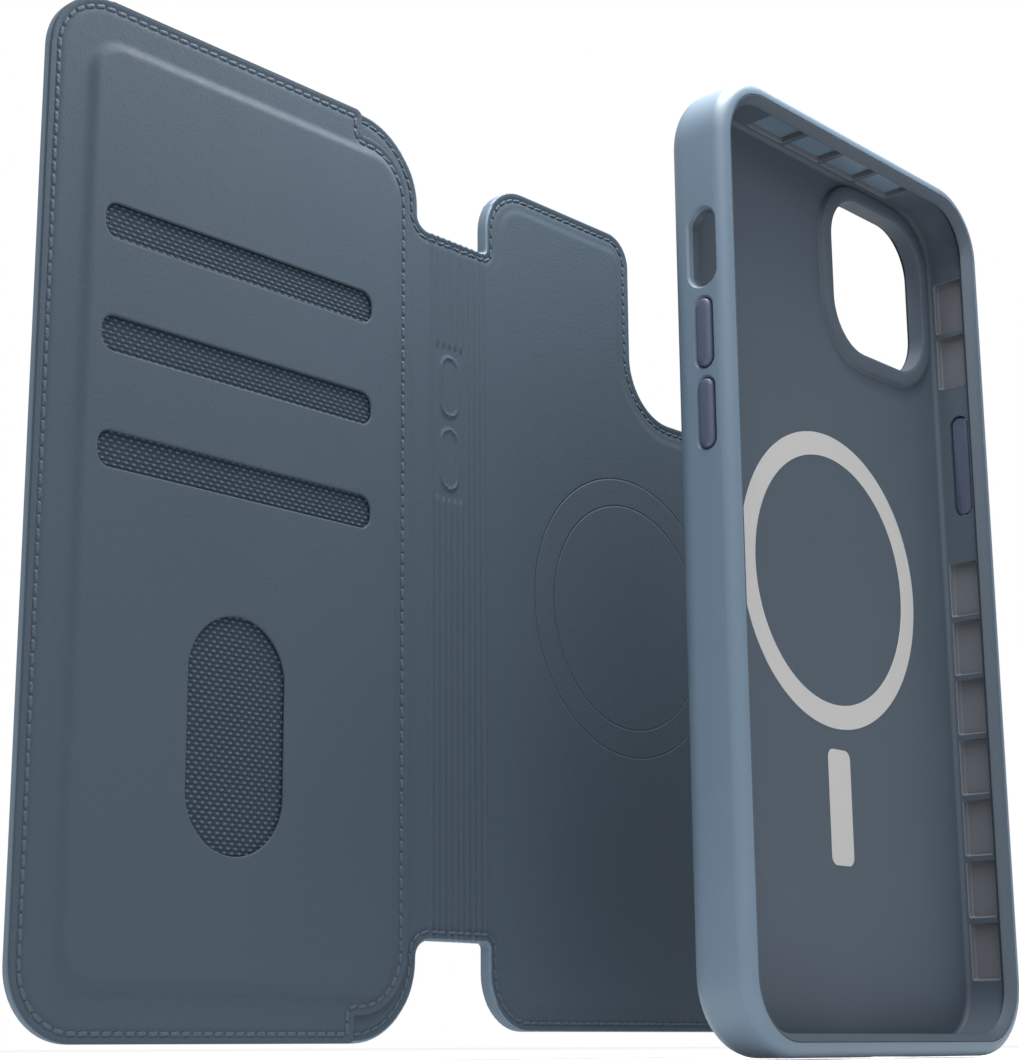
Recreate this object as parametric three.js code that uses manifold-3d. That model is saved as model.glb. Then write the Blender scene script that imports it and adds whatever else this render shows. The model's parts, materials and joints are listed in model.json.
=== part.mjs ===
// Phone wallet case: a leather folio opened flat and the snap-in case that docks on its magnet ring.
// Millimetres, +X along the open folio, -Y towards the reader, +Z up.
import * as THREE from 'three';
import { mergeVertices } from 'three/addons/utils/BufferGeometryUtils.js';
import Module from 'manifold-3d';

const wasm = await Module();
wasm.setup();

// Folio, seen open from the inside
const coverHeight = 163.2;
const coverRaise = 0.4;           // the cover sits this far above the magnet ring's level
const coverWidth = 79.8;          // free edge to the first fold line
const coverCorner = 11;
const wrapCorner = 13;
const panelStep = 4.5;            // the pocket panel steps down beside the wrap
const panelStepAt = 65.5;
const panelWidth = 77.5;
const panelCorner = 9;
const backHeight = 158.5;
const backWidth = 80.2;
const backCorner = 10;
const notchDepth = 37;            // camera notch, down from the top edge
const notchLeft = 42;             // camera notch, in from the left edge
const notchCorner = 12;
const tabCorner = 6;
const shoulderCorner = 8;
const spineHeight = 128.4;
const stripWidth = 5.6;           // one of the three spine strips
const stripCount = 3;
const foldAngle = Math.PI / 4;    // largest turn at one fold
const foldClear = 0.1;
const ridgePitch = 1.49;
const ridgeRadius = 0.33;
const ridgeCount = 10;
const patchHeight = 29;           // smooth patch that holds the two button reliefs
const pillLength = 11.6;
const pillWidth = 4.7;
const pillGap = 2.1;
const pillLine = 0.5;
const pillRise = 0.25;

// Leather plies and boards
const skinThick = 0.8;
const boardThick = 0.4;
const fabricThick = 0.2;
const plyGap = 0.1;
const panelThick = 0.6;
const plateauRise = 0.8;
const plateauInset = 7.5;
const plateauWall = 0.5;
const boardInset = 3;
const flapThick = 0.6;
const liningThick = 0.7;
const backBoardThick = 1.05;
const embossDepth = 0.15;
const embossWidth = 0.5;

// Card slots and thumb window
const slotLeft = 10.9;
const slotWidth = 56.5;
const slotHeight = 5.75;
const slotPitch = 18.5;
const slotTop = 34.3;             // cover top edge to the first slot's top edge
const slotCount = 3;
const slotCorner = 2;
const thumbWidth = 19.6;
const thumbHeight = 38;
const thumbX = 39.1;
const thumbZ = 47.4;              // above the cover's bottom edge

// Stitching
const stitchInset = 1.7;
const threadWidth = 0.45;
const threadThick = 0.3;
const threadClear = 0.1;

// Magnets
const magnetOuter = 27.2;
const magnetInner = 22.9;
const magnetThick = 0.5;
const shieldThick = 0.1;
const magnetClear = 0.1;
const alignWidth = 6.2;
const alignHeight = 19.8;
const alignGap = 4;               // between the ring and the alignment magnet
const alignDrop = magnetOuter + alignGap + alignHeight / 2;

// Case
const caseHeight = 166.5;
const caseWidth = 84.4;
const caseDepth = 12.2;
const caseCorner = 13;
const caseBackRound = 3.8;
const caseFrontRound = 2.4;
const caseApart = 44.8;           // folio face to the case's back when it is taken off
const dockGap = 0.2;
const shellWall = 1.5;
const shellBack = 0.7;
const linerClear = 0.1;
const caseSide = 3.3;             // from the case's outside to the phone at each side
const caseEnd = 2.8;              // and at each end
const phoneWidth = caseWidth - 2 * caseSide;
const phoneHeight = caseHeight - 2 * caseEnd;
const phoneClear = 0.3;
const floorThick = 1.4;
const lipOverhang = 1.3;
const lipThick = 1.6;
const lipSlope = 1.5;
const rimInset = 2.4;             // the liner's front face starts this far in from the outside
const ringCoverThick = 0.3;
const recessDepth = 0.9;
const recessWidth = 5.2;
const recessLength = 10.3;
const recessPitch = 11.65;
const cameraSize = 30.7;
const cameraCorner = 9.5;
const cameraSideGap = 7.6;        // from the case's side to the camera opening
const cameraTopGap = 6.3;         // and from its top
const cameraX = caseWidth / 2 - cameraSize / 2 - cameraSideGap;
const cameraZ = caseHeight / 2 - cameraSize / 2 - cameraTopGap;
const cameraLip = 1.7;
const cameraLipRise = 1.1;
const bezelWall = 1;
const bezelClear = 0.1;
const bezelProud = 0.6;
const muteWidth = 5.2;
const muteLength = 14;
const muteZ = 50.5;
const portWidth = 14.4;
const portHeight = 6.2;
const buttonWidth = 3.1;
const volumeLength = 12;
const volumeUpZ = 35.3;
const volumeDownZ = 21.2;
const powerLength = 19.5;
const powerZ = 29;
const buttonProud = 0.5;
const buttonClear = 0.15;
const buttonReach = 2.7;

// Worked-out places
const steps = 3;                  // half the segments in a quarter turn
const ringUpset = 0.55;           // the magnet ring sits this far above the case's middle
const middleZ = 0;                // the folio's mid height
const coverBottom = middleZ + coverRaise - coverHeight / 2;
const coverTop = middleZ + coverRaise + coverHeight / 2;
const foldFirst = coverWidth;
const foldLast = coverWidth + stripWidth * stripCount;
const backLeft = foldLast + 1;
const ringX = backLeft + backWidth / 2;
const caseLeft = ringX - caseWidth / 2;
const caseRight = ringX + caseWidth / 2;
const caseMidZ = middleZ - ringUpset;
const caseBottom = caseMidZ - caseHeight / 2;
const caseTop = caseMidZ + caseHeight / 2;
const caseBackY = -caseApart;
const caseFrontY = caseBackY - caseDepth;
const linerBackY = caseBackY - shellBack - linerClear;
const floorY = linerBackY - floorThick;
const caseSideY = (floorY + caseFrontY) / 2;
const bevel = Math.tan(foldAngle / 2);
const cameraMidX = ringX + cameraX;
const cameraMidZ = caseMidZ + cameraZ;
const linerInset = shellWall + linerClear;
const bayInsetX = (caseWidth - phoneWidth) / 2 - phoneClear;
const bayInsetZ = (caseHeight - phoneHeight) / 2 - phoneClear;

const slate = new THREE.MeshStandardMaterial({ color: 0x55636f, roughness: 0.62, metalness: 0 });
const lining = new THREE.MeshStandardMaterial({ color: 0x4f5d69, roughness: 0.66, metalness: 0 });
const thread = new THREE.MeshStandardMaterial({ color: 0x5f6f7d, roughness: 0.7, metalness: 0 });
const weave = new THREE.MeshStandardMaterial({ color: 0x39434e, roughness: 0.85, metalness: 0 });
const board = new THREE.MeshStandardMaterial({ color: 0x8a8a86, roughness: 0.8, metalness: 0 });
const steel = new THREE.MeshStandardMaterial({ color: 0x9a9da0, roughness: 0.35, metalness: 1 });
const satin = new THREE.MeshStandardMaterial({ color: 0x6e7f90, roughness: 0.45, metalness: 0 });
const rubber = new THREE.MeshStandardMaterial({ color: 0x44505b, roughness: 0.6, metalness: 0 });
const paleGrey = new THREE.MeshStandardMaterial({ color: 0xbfc2c4, roughness: 0.6, metalness: 0 });
const indigo = new THREE.MeshStandardMaterial({ color: 0x4d5675, roughness: 0.5, metalness: 0 });
const black = new THREE.MeshStandardMaterial({ color: 0x111214, roughness: 0.4, metalness: 0 });

function solidOf(geometry) {
  const bare = geometry.clone();
  bare.deleteAttribute('normal');
  bare.deleteAttribute('uv');
  const merged = mergeVertices(bare, 1e-4);
  return new wasm.Manifold(new wasm.Mesh({
    numProp: 3,
    vertProperties: new Float32Array(merged.attributes.position.array),
    triVerts: new Uint32Array(merged.index.array),
  }));
}

function geometryOf(solid) {
  const mesh = solid.getMesh();
  const geometry = new THREE.BufferGeometry();
  geometry.setAttribute('position', new THREE.BufferAttribute(mesh.vertProperties, 3));
  geometry.setIndex(new THREE.BufferAttribute(mesh.triVerts, 1));
  return geometry;
}

function cut(base, ...tools) {
  return geometryOf(tools.reduce((solid, tool) => solid.subtract(solidOf(tool)), solidOf(base)));
}

function join(base, ...tools) {
  return geometryOf(tools.reduce((solid, tool) => solid.add(solidOf(tool)), solidOf(base)));
}

// A flat piece: the outline lies in X-Z and runs from the front face to the back face in Y.
function ply(shape, frontY, backY, curveSegments = steps) {
  const depth = backY - frontY;
  const geometry = new THREE.ExtrudeGeometry(shape, { depth, bevelEnabled: false, curveSegments });
  geometry.rotateX(Math.PI / 2);
  geometry.translate(0, backY, 0);
  return geometry;
}

// A pill or rounded opening through a side wall, running along X.
function sidePlug(shape, fromX, toX) {
  const depth = toX - fromX;
  const geometry = new THREE.ExtrudeGeometry(shape, { depth, bevelEnabled: false, curveSegments: steps });
  geometry.rotateY(Math.PI / 2);
  geometry.rotateX(Math.PI / 2);
  geometry.translate(fromX, 0, 0);
  return geometry;
}

function box(minX, minY, minZ, maxX, maxY, maxZ) {
  const geometry = new THREE.BoxGeometry(maxX - minX, maxY - minY, maxZ - minZ);
  geometry.translate((minX + maxX) / 2, (minY + maxY) / 2, (minZ + maxZ) / 2);
  return geometry;
}

function roundedRect(left, bottom, right, top, radius) {
  const shape = new THREE.Shape();
  shape.moveTo(left + radius, bottom);
  shape.lineTo(right - radius, bottom);
  shape.absarc(right - radius, bottom + radius, radius, -Math.PI / 2, 0);
  shape.lineTo(right, top - radius);
  shape.absarc(right - radius, top - radius, radius, 0, Math.PI / 2);
  shape.lineTo(left + radius, top);
  shape.absarc(left + radius, top - radius, radius, Math.PI / 2, Math.PI);
  shape.lineTo(left, bottom + radius);
  shape.absarc(left + radius, bottom + radius, radius, Math.PI, Math.PI * 1.5);
  return shape;
}

function centredRect(x, z, width, height, radius) {
  return roundedRect(x - width / 2, z - height / 2, x + width / 2, z + height / 2, radius);
}

function ringShape(x, z, outer, inner) {
  const circle = (radius) => centredRect(x, z, 2 * radius, 2 * radius, radius - 0.01);
  const shape = circle(outer);
  shape.holes.push(new THREE.Path(circle(inner).getPoints(2 * steps)));
  return shape;
}

// The loop between two insets of one outline.
function loopShape(outline, inset, width) {
  const shape = outline(inset - width / 2);
  const hole = outline(inset + width / 2);
  shape.holes.push(new THREE.Path(hole.getPoints(steps)));
  return shape;
}

function coverOutline(inset, right = coverWidth) {
  const left = inset;
  const bottom = coverBottom + inset;
  const top = coverTop - inset;
  const near = coverCorner - inset;
  const far = wrapCorner - inset;
  const edge = right - inset;
  const shape = new THREE.Shape();
  shape.moveTo(left + near, bottom);
  shape.lineTo(edge - far, bottom);
  shape.absarc(edge - far, bottom + far, far, -Math.PI / 2, 0);
  shape.lineTo(edge, top - far);
  shape.absarc(edge - far, top - far, far, 0, Math.PI / 2);
  shape.lineTo(left + near, top);
  shape.absarc(left + near, top - near, near, Math.PI / 2, Math.PI);
  shape.lineTo(left, bottom + near);
  shape.absarc(left + near, bottom + near, near, Math.PI, Math.PI * 1.5);
  return shape;
}

function panelOutline(inset) {
  const left = inset;
  const bottom = coverBottom + inset;
  const top = coverTop - inset;
  const near = coverCorner - inset;
  const far = panelCorner - inset;
  const edge = panelWidth - inset;
  const stepX = panelStepAt - inset;
  const shape = new THREE.Shape();
  shape.moveTo(left + near, bottom);
  shape.lineTo(stepX, bottom);
  shape.lineTo(stepX, bottom + panelStep);
  shape.lineTo(edge - far, bottom + panelStep);
  shape.absarc(edge - far, bottom + panelStep + far, far, -Math.PI / 2, 0);
  shape.lineTo(edge, top - panelStep - far);
  shape.absarc(edge - far, top - panelStep - far, far, 0, Math.PI / 2);
  shape.lineTo(stepX, top - panelStep);
  shape.lineTo(stepX, top);
  shape.lineTo(left + near, top);
  shape.absarc(left + near, top - near, near, Math.PI / 2, Math.PI);
  shape.lineTo(left, bottom + near);
  shape.absarc(left + near, bottom + near, near, Math.PI, Math.PI * 1.5);
  return shape;
}

function backOutline(inset, extraLeft = 0) {
  const left = backLeft + inset + extraLeft;
  const right = backLeft + backWidth - inset;
  const bottom = middleZ - backHeight / 2 + inset;
  const top = middleZ + backHeight / 2 - inset;
  const notchX = backLeft + notchLeft - inset;
  const notchZ = middleZ + backHeight / 2 - notchDepth - inset;
  const corner = backCorner - inset;
  const tab = tabCorner - inset;
  const shoulder = shoulderCorner - inset;
  const hollow = notchCorner + inset;
  const shape = new THREE.Shape();
  shape.moveTo(left + corner, bottom);
  shape.lineTo(right - corner, bottom);
  shape.absarc(right - corner, bottom + corner, corner, -Math.PI / 2, 0);
  shape.lineTo(right, notchZ - shoulder);
  shape.absarc(right - shoulder, notchZ - shoulder, shoulder, 0, Math.PI / 2);
  shape.lineTo(notchX + hollow, notchZ);
  shape.absarc(notchX + hollow, notchZ + hollow, hollow, Math.PI * 1.5, Math.PI, true);
  shape.lineTo(notchX, top - tab);
  shape.absarc(notchX - tab, top - tab, tab, 0, Math.PI / 2);
  shape.lineTo(left + corner, top);
  shape.absarc(left + corner, top - corner, corner, Math.PI / 2, Math.PI);
  shape.lineTo(left, bottom + corner);
  shape.absarc(left + corner, bottom + corner, corner, Math.PI, Math.PI * 1.5);
  return shape;
}

// The case's outside at one depth: a rounded rectangle drawn in by an inset.
function caseRing(insetX, insetZ, y) {
  const shape = roundedRect(
    caseLeft + insetX, caseBottom + insetZ, caseRight - insetX, caseTop - insetZ,
    caseCorner - Math.max(insetX, insetZ));
  return shape.getPoints(steps).slice(0, -1).map((point) => new THREE.Vector3(point.x, y, point.y));
}

// A closed body through rings of the same point count, from the back of the case to its front.
function loft(rings) {
  const count = rings[0].length;
  const points = [];
  const faces = [];
  rings.forEach((ring) => ring.forEach((point) => points.push(point.x, point.y, point.z)));
  for (let level = 0; level + 1 < rings.length; level += 1) {
    for (let index = 0; index < count; index += 1) {
      const here = level * count + index;
      const next = level * count + (index + 1) % count;
      faces.push(here, next, here + count);
      faces.push(next, next + count, here + count);
    }
  }
  for (let index = 1; index + 1 < count; index += 1) {
    const last = (rings.length - 1) * count;
    faces.push(0, index + 1, index);
    faces.push(last, last + index, last + index + 1);
  }
  const geometry = new THREE.BufferGeometry();
  geometry.setAttribute('position', new THREE.BufferAttribute(new Float32Array(points), 3));
  geometry.setIndex(faces);
  return geometry;
}

function meshOf(name, geometry, material) {
  const mesh = new THREE.Mesh(geometry, material);
  mesh.name = name;
  return mesh;
}

// Folio cover
const panelBackY = panelThick;
const flapFrontY = panelBackY + plyGap;
const skinFrontY = flapFrontY + flapThick + plyGap;
const skinBackY = skinFrontY + skinThick;

function slotShape(index) {
  const top = coverTop - slotTop - index * slotPitch;
  return roundedRect(slotLeft, top - slotHeight, slotLeft + slotWidth, top, slotCorner);
}

function thumbShape() {
  return centredRect(thumbX, coverBottom + thumbZ, thumbWidth, thumbHeight, thumbWidth / 2 - 0.01);
}

function plateauShape(inset) {
  return roundedRect(
    plateauInset + inset, coverBottom + plateauInset + inset,
    panelWidth - plateauInset / 2 - inset, coverTop - plateauInset - inset, coverCorner / 2);
}

function pocketPanel() {
  const sheet = ply(panelOutline(0), 0, panelBackY);
  const raised = ply(plateauShape(0), -plateauRise, panelBackY / 2);
  const pocket = ply(plateauShape(plateauWall), plateauWall - plateauRise, panelBackY + 1);
  const groove = ply(loopShape(panelOutline, stitchInset, threadWidth + 2 * threadClear),
    -1, threadThick + threadClear);
  const windows = [];
  for (let index = 0; index < slotCount; index += 1) {
    windows.push(ply(slotShape(index), -plateauRise - 1, panelBackY + 1));
  }
  windows.push(ply(thumbShape(), -plateauRise - 1, panelBackY + 1));
  return cut(join(sheet, raised), pocket, groove, ...windows);
}

function pocketFabric() {
  return ply(plateauShape(plateauWall + plyGap), panelBackY - fabricThick, panelBackY);
}

function coverBoard() {
  const shape = roundedRect(boardInset, coverBottom + boardInset, panelStepAt - boardInset,
    coverTop - boardInset, coverCorner - boardInset);
  return ply(shape, flapFrontY, flapFrontY + boardThick);
}

function hingeFlap() {
  const left = panelStepAt - boardInset + plyGap * 3;
  const edge = foldFirst - bevel * (flapFrontY + flapThick) - foldClear;
  const whole = ply(coverOutline(0, edge), flapFrontY, flapFrontY + flapThick);
  return cut(whole, box(-1, -1, coverBottom - 1, left, skinBackY, coverTop + 1));
}

function coverSkin() {
  return ply(coverOutline(0, foldFirst - bevel * skinBackY - foldClear), skinFrontY, skinBackY);
}

function coverThread() {
  return ply(loopShape(panelOutline, stitchInset, threadWidth), threadClear / 2,
    threadClear / 2 + threadThick);
}

// Spine strips: a bevelled section in X-Y drawn upwards along Z
function stripSolid(left, right, frontY, backY, ridges) {
  const frontLeft = left + bevel * Math.max(frontY, 0) + foldClear;
  const frontRight = right - bevel * Math.max(frontY, 0) - foldClear;
  const shape = new THREE.Shape();
  shape.moveTo(frontLeft, -frontY);
  shape.lineTo(left + bevel * backY + foldClear, -backY);
  shape.lineTo(right - bevel * backY - foldClear, -backY);
  shape.lineTo(frontRight, -frontY);
  ridges.forEach((x) => shape.absarc(x, -frontY, ridgeRadius, 0, Math.PI));
  const geometry = new THREE.ExtrudeGeometry(shape, {
    depth: spineHeight, bevelEnabled: false, curveSegments: 4,
  });
  geometry.scale(1, -1, 1);
  geometry.index = null;
  geometry.translate(0, 0, middleZ - spineHeight / 2);
  return flipped(geometry);
}

// Turning a mirrored body the right way out again.
function flipped(geometry) {
  const corners = geometry.attributes.position;
  for (let first = 0; first < corners.count; first += 3) {
    const a = new THREE.Vector3().fromBufferAttribute(corners, first);
    const b = new THREE.Vector3().fromBufferAttribute(corners, first + 1);
    corners.setXYZ(first, b.x, b.y, b.z);
    corners.setXYZ(first + 1, a.x, a.y, a.z);
  }
  return geometry;
}

function ridgesBetween(left, right) {
  const centre = (foldFirst + foldLast + 2) / 2;
  const found = [];
  for (let index = ridgeCount - 1; index >= 0; index -= 1) {
    const x = centre + (index - (ridgeCount - 1) / 2) * ridgePitch;
    if (x - ridgeRadius > left + foldClear && x + ridgeRadius < right - foldClear) found.push(x);
  }
  return found;
}

function spineLining(index) {
  const left = foldFirst + index * stripWidth;
  const right = left + stripWidth;
  const backY = flapFrontY + flapThick;
  const strip = stripSolid(left, right, 0, backY, ridgesBetween(left, right));
  if (index !== 1) return strip;
  const patch = box(left - 1, -1, middleZ + pillGap / 2 + pillLength - patchHeight + 1,
    right + 1, 0, middleZ + pillGap / 2 + pillLength + 1);
  const middle = (left + right) / 2;
  const rows = [-1, 1].map((side) => side * (pillLength + pillGap) / 2);
  const lift = middleZ + pillGap / 2 + pillLength + 1 - patchHeight / 2;
  const reliefs = rows.map((offset) => {
    const outline = (inset) => centredRect(middle, lift + offset, pillWidth - 2 * inset,
      pillLength - 2 * inset, pillWidth / 2 - inset - 0.01);
    return ply(loopShape(outline, pillLine / 2, pillLine), -pillRise, backY / 2);
  });
  return join(cut(strip, patch), ...reliefs);
}

function spineSkin(index) {
  const left = foldFirst + index * stripWidth;
  return stripSolid(left, left + stripWidth, skinFrontY, skinBackY, []);
}

// Folio back
const boardFrontY = liningThick + plyGap / 2;
const boardBackY = boardFrontY + backBoardThick;
const backSkinFrontY = boardBackY + plyGap;
const backSkinBackY = backSkinFrontY + skinThick;

function embossRing(radius) {
  const half = embossWidth / 2;
  return ply(ringShape(ringX, middleZ, radius + half, radius - half), -1, embossDepth, 2 * steps);
}

function backLining() {
  const groove = ply(loopShape(backOutline, stitchInset, threadWidth + 2 * threadClear),
    -1, threadThick + threadClear);
  return cut(ply(backOutline(0), 0, liningThick), groove, embossRing(magnetOuter), embossRing(magnetInner));
}

function backThread() {
  return ply(loopShape(backOutline, stitchInset, threadWidth), threadClear / 2,
    threadClear / 2 + threadThick);
}

function backBoard() {
  const plate = ply(backOutline(boardInset / 2), boardFrontY, boardBackY);
  const pocketY = boardFrontY + magnetThick + shieldThick + 2 * magnetClear;
  const ring = ply(ringShape(ringX, middleZ, magnetOuter + magnetClear, magnetInner - magnetClear),
    -1, pocketY, 2 * steps);
  const pocket = ply(centredRect(ringX, middleZ - alignDrop, alignWidth + 2 * magnetClear,
    alignHeight + 2 * magnetClear, 1), -1, pocketY);
  return cut(plate, ring, pocket);
}

function backSkin() {
  return ply(backOutline(0, Math.max(0, bevel * backSkinBackY + foldClear - 1)),
    backSkinFrontY, backSkinBackY);
}

function ringPly(frontY, thick) {
  return ply(ringShape(ringX, middleZ, magnetOuter, magnetInner), frontY, frontY + thick, 2 * steps);
}

function alignPly(frontY, thick) {
  return ply(centredRect(ringX, middleZ - alignDrop, alignWidth, alignHeight, 1), frontY, frontY + thick);
}

// Case
function caseOuter(offset, backY) {
  const rings = [];
  const backRound = caseBackRound - offset;
  for (let step = 0; step <= steps; step += 1) {
    const turn = step / steps * Math.PI / 2;
    const inset = offset + backRound * (1 - Math.sin(turn));
    rings.push(caseRing(inset, inset, backY - backRound * (1 - Math.cos(turn))));
  }
  return rings;
}

function shellOutside() {
  const rings = caseOuter(0, caseBackY);
  for (let step = 0; step <= steps / 2; step += 1) {
    const turn = step / (steps / 2) * Math.PI / 2;
    const inset = caseFrontRound * (1 - Math.cos(turn));
    rings.push(caseRing(inset, inset, caseFrontY + caseFrontRound * (1 - Math.sin(turn))));
  }
  return loft(rings);
}

function cameraShape(grow) {
  return centredRect(cameraMidX, cameraMidZ, cameraSize + 2 * grow, cameraSize + 2 * grow,
    cameraCorner + grow);
}

function pillShape(z, width, length) {
  return centredRect(caseSideY, z, width, length, width / 2 - 0.01);
}

function sideCuts(clearance) {
  const reach = shellWall + linerClear + bayInsetX + caseWidth / 10;
  const leftPlug = (z, width, length) => sidePlug(pillShape(z, width, length), caseLeft - 2, caseLeft + reach);
  const grown = (value) => value + 2 * clearance;
  const portHalf = (portWidth + 2 * clearance) / 2;
  const portY = (portHeight + 2 * clearance) / 2;
  return [
    leftPlug(caseMidZ + muteZ, grown(muteWidth), grown(muteLength)),
    leftPlug(caseMidZ + volumeUpZ, grown(buttonWidth), grown(volumeLength)),
    leftPlug(caseMidZ + volumeDownZ, grown(buttonWidth), grown(volumeLength)),
    sidePlug(pillShape(caseMidZ + powerZ, grown(buttonWidth), grown(powerLength)),
      caseRight - reach, caseRight + 2),
    box(ringX - portHalf, caseSideY - portY, caseBottom - 2, ringX + portHalf, caseSideY + portY,
      caseBottom + bayInsetZ + 4),
  ];
}

function caseShell() {
  const rings = caseOuter(shellWall, caseBackY - shellBack);
  rings.push(caseRing(shellWall, shellWall, caseFrontY + lipThick + linerClear));
  rings.push(caseRing(rimInset, rimInset, caseFrontY + lipThick / 2));
  rings.push(caseRing(rimInset, rimInset, caseFrontY - 1));
  return cut(shellOutside(), loft(rings),
    ply(cameraShape(bezelWall + 2 * bezelClear), caseBackY - shellBack - 1, caseBackY + 1),
    ...sideCuts(buttonClear));
}

function linerOutside() {
  const rings = caseOuter(linerInset, linerBackY);
  rings.push(caseRing(linerInset, linerInset, caseFrontY + lipThick + 2 * linerClear));
  rings.push(caseRing(rimInset + linerClear, rimInset + linerClear, caseFrontY + lipThick / 2 + linerClear));
  rings.push(caseRing(rimInset + linerClear, rimInset + linerClear, caseFrontY + linerClear));
  return loft(rings);
}

function wallRecesses() {
  const recesses = [];
  const y0 = caseSideY - recessWidth / 2;
  const y1 = caseSideY + recessWidth / 2;
  const sideX = bayInsetX - recessDepth;
  const endZ = bayInsetZ - recessDepth;
  const half = recessLength / 2;
  const sideRun = caseHeight / 2 - caseCorner;
  const clearOf = (z, spans) => spans.every(([mid, length]) => Math.abs(z - mid) > (length + recessLength) / 2 + 1);
  const leftSpans = [[muteZ, muteLength], [volumeUpZ, volumeLength], [volumeDownZ, volumeLength]];
  for (let z = -Math.floor(sideRun / recessPitch) * recessPitch; z <= sideRun; z += recessPitch) {
    const mid = caseMidZ + z;
    if (clearOf(z, [[powerZ, powerLength]])) {
      recesses.push(box(caseRight - bayInsetX - 1, y0, mid - half, caseRight - sideX, y1, mid + half));
    }
    if (clearOf(z, leftSpans)) {
      recesses.push(box(caseLeft + sideX, y0, mid - half, caseLeft + bayInsetX + 1, y1, mid + half));
    }
  }
  const endRun = caseWidth / 2 - caseCorner - half;
  for (let x = -Math.floor(endRun / recessPitch) * recessPitch; x <= endRun; x += recessPitch) {
    const mid = ringX + x;
    recesses.push(box(mid - half, y0, caseTop - bayInsetZ - 1, mid + half, y1, caseTop - endZ));
    if (Math.abs(x) > (portWidth + recessLength) / 2 + 1) {
      recesses.push(box(mid - half, y0, caseBottom + endZ, mid + half, y1, caseBottom + bayInsetZ + 1));
    }
  }
  return recesses;
}

function caseLiner() {
  const lipX = bayInsetX + lipOverhang;
  const lipZ = bayInsetZ + lipOverhang;
  const bay = loft([
    caseRing(bayInsetX, bayInsetZ, floorY),
    caseRing(bayInsetX, bayInsetZ, caseFrontY + lipThick + lipSlope / 2),
    caseRing(lipX, lipZ, caseFrontY + lipThick),
    caseRing(lipX, lipZ, caseFrontY + lipSlope),
    caseRing(rimInset + 3 * linerClear, rimInset + 3 * linerClear, caseFrontY - linerClear),
  ]);
  const cameraRim = ply(cameraShape(bezelWall + cameraLip), floorY - cameraLipRise, floorY + floorThick / 2);
  const groove = ply(ringShape(ringX, middleZ, magnetOuter + magnetClear, magnetInner - magnetClear),
    floorY - 1, linerBackY - shieldThick * 3, 2 * steps);
  const pocket = ply(centredRect(ringX, middleZ - alignDrop, alignWidth + 2 * magnetClear,
    alignHeight + 2 * magnetClear, 1 + magnetClear), floorY - 1, linerBackY - shieldThick * 3);
  const cameraHole = ply(cameraShape(bezelWall + 2 * bezelClear), floorY - 3, linerBackY + 1);
  return cut(join(cut(linerOutside(), bay), cameraRim), cameraHole, groove, pocket,
    ...sideCuts(2 * buttonClear), ...wallRecesses());
}

function cameraBezel() {
  const outer = cameraShape(bezelWall + bezelClear);
  outer.holes.push(new THREE.Path(cameraShape(0).getPoints(steps)));
  return ply(outer, floorY - cameraLipRise / 2, caseBackY - bezelClear + bezelProud);
}

function sideButton(side, z, length) {
  const outside = side < 0 ? caseLeft - buttonProud : caseRight - buttonReach;
  const shape = pillShape(caseMidZ + z, buttonWidth, length);
  return sidePlug(shape, outside, outside + buttonProud + buttonReach);
}

const linerPocketY = linerBackY - shieldThick * 3 - magnetClear / 2;
const caseMagnetFront = linerPocketY - magnetThick;
const caseShieldFront = caseMagnetFront - magnetClear / 2 - shieldThick;

const cover = new THREE.Group();
cover.add(meshOf('pocket_panel', pocketPanel(), lining));
cover.add(meshOf('pocket_fabric', pocketFabric(), weave));
cover.add(meshOf('cover_board', coverBoard(), board));
cover.add(meshOf('cover_hinge_flap', hingeFlap(), slate));
cover.add(meshOf('front_cover_skin', coverSkin(), slate));
cover.add(meshOf('cover_stitching', coverThread(), thread));

const spine = new THREE.Group();
['front', 'middle', 'back'].forEach((place, index) => {
  spine.add(meshOf(`spine_lining_${place}`, spineLining(index), lining));
  spine.add(meshOf(`spine_skin_${place}`, spineSkin(index), slate));
});

const back = new THREE.Group();
back.add(meshOf('back_lining', backLining(), lining));
back.add(meshOf('back_stitching', backThread(), thread));
back.add(meshOf('back_board', backBoard(), board));
back.add(meshOf('back_cover_skin', backSkin(), slate));
back.add(meshOf('folio_magnet_ring', ringPly(boardFrontY + magnetClear / 2, magnetThick), steel));
back.add(meshOf('folio_ring_shield', ringPly(boardFrontY + magnetClear + magnetThick, shieldThick), steel));
back.add(meshOf('folio_alignment_magnet', alignPly(boardFrontY + magnetClear / 2, magnetThick), steel));

const phoneCase = new THREE.Group();
phoneCase.add(meshOf('case_shell', caseShell(), satin));
phoneCase.add(meshOf('case_liner', caseLiner(), rubber));
phoneCase.add(meshOf('camera_bezel', cameraBezel(), black));
phoneCase.add(meshOf('case_magnet_ring', ringPly(caseMagnetFront, magnetThick), steel));
phoneCase.add(meshOf('case_ring_shield', ringPly(caseShieldFront, shieldThick), steel));
phoneCase.add(meshOf('case_ring_cover', ringPly(floorY, ringCoverThick), paleGrey));
phoneCase.add(meshOf('case_alignment_magnet', alignPly(caseMagnetFront, magnetThick), steel));
phoneCase.add(meshOf('case_alignment_cover', alignPly(floorY, ringCoverThick), paleGrey));
phoneCase.add(meshOf('volume_up_button', sideButton(-1, volumeUpZ, volumeLength), indigo));
phoneCase.add(meshOf('volume_down_button', sideButton(-1, volumeDownZ, volumeLength), indigo));
phoneCase.add(meshOf('power_button', sideButton(1, powerZ, powerLength), indigo));

const walletCase = new THREE.Group();
walletCase.add(cover, spine, back, phoneCase);
walletCase.position.set(-(caseRight + buttonProud) / 2, -(caseFrontY + linerClear + backSkinBackY) / 2,
  -caseBottom);

export default walletCase;
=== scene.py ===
import bmesh
import bpy
import json
import math
import numpy as np
from mathutils import Matrix, Vector


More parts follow.
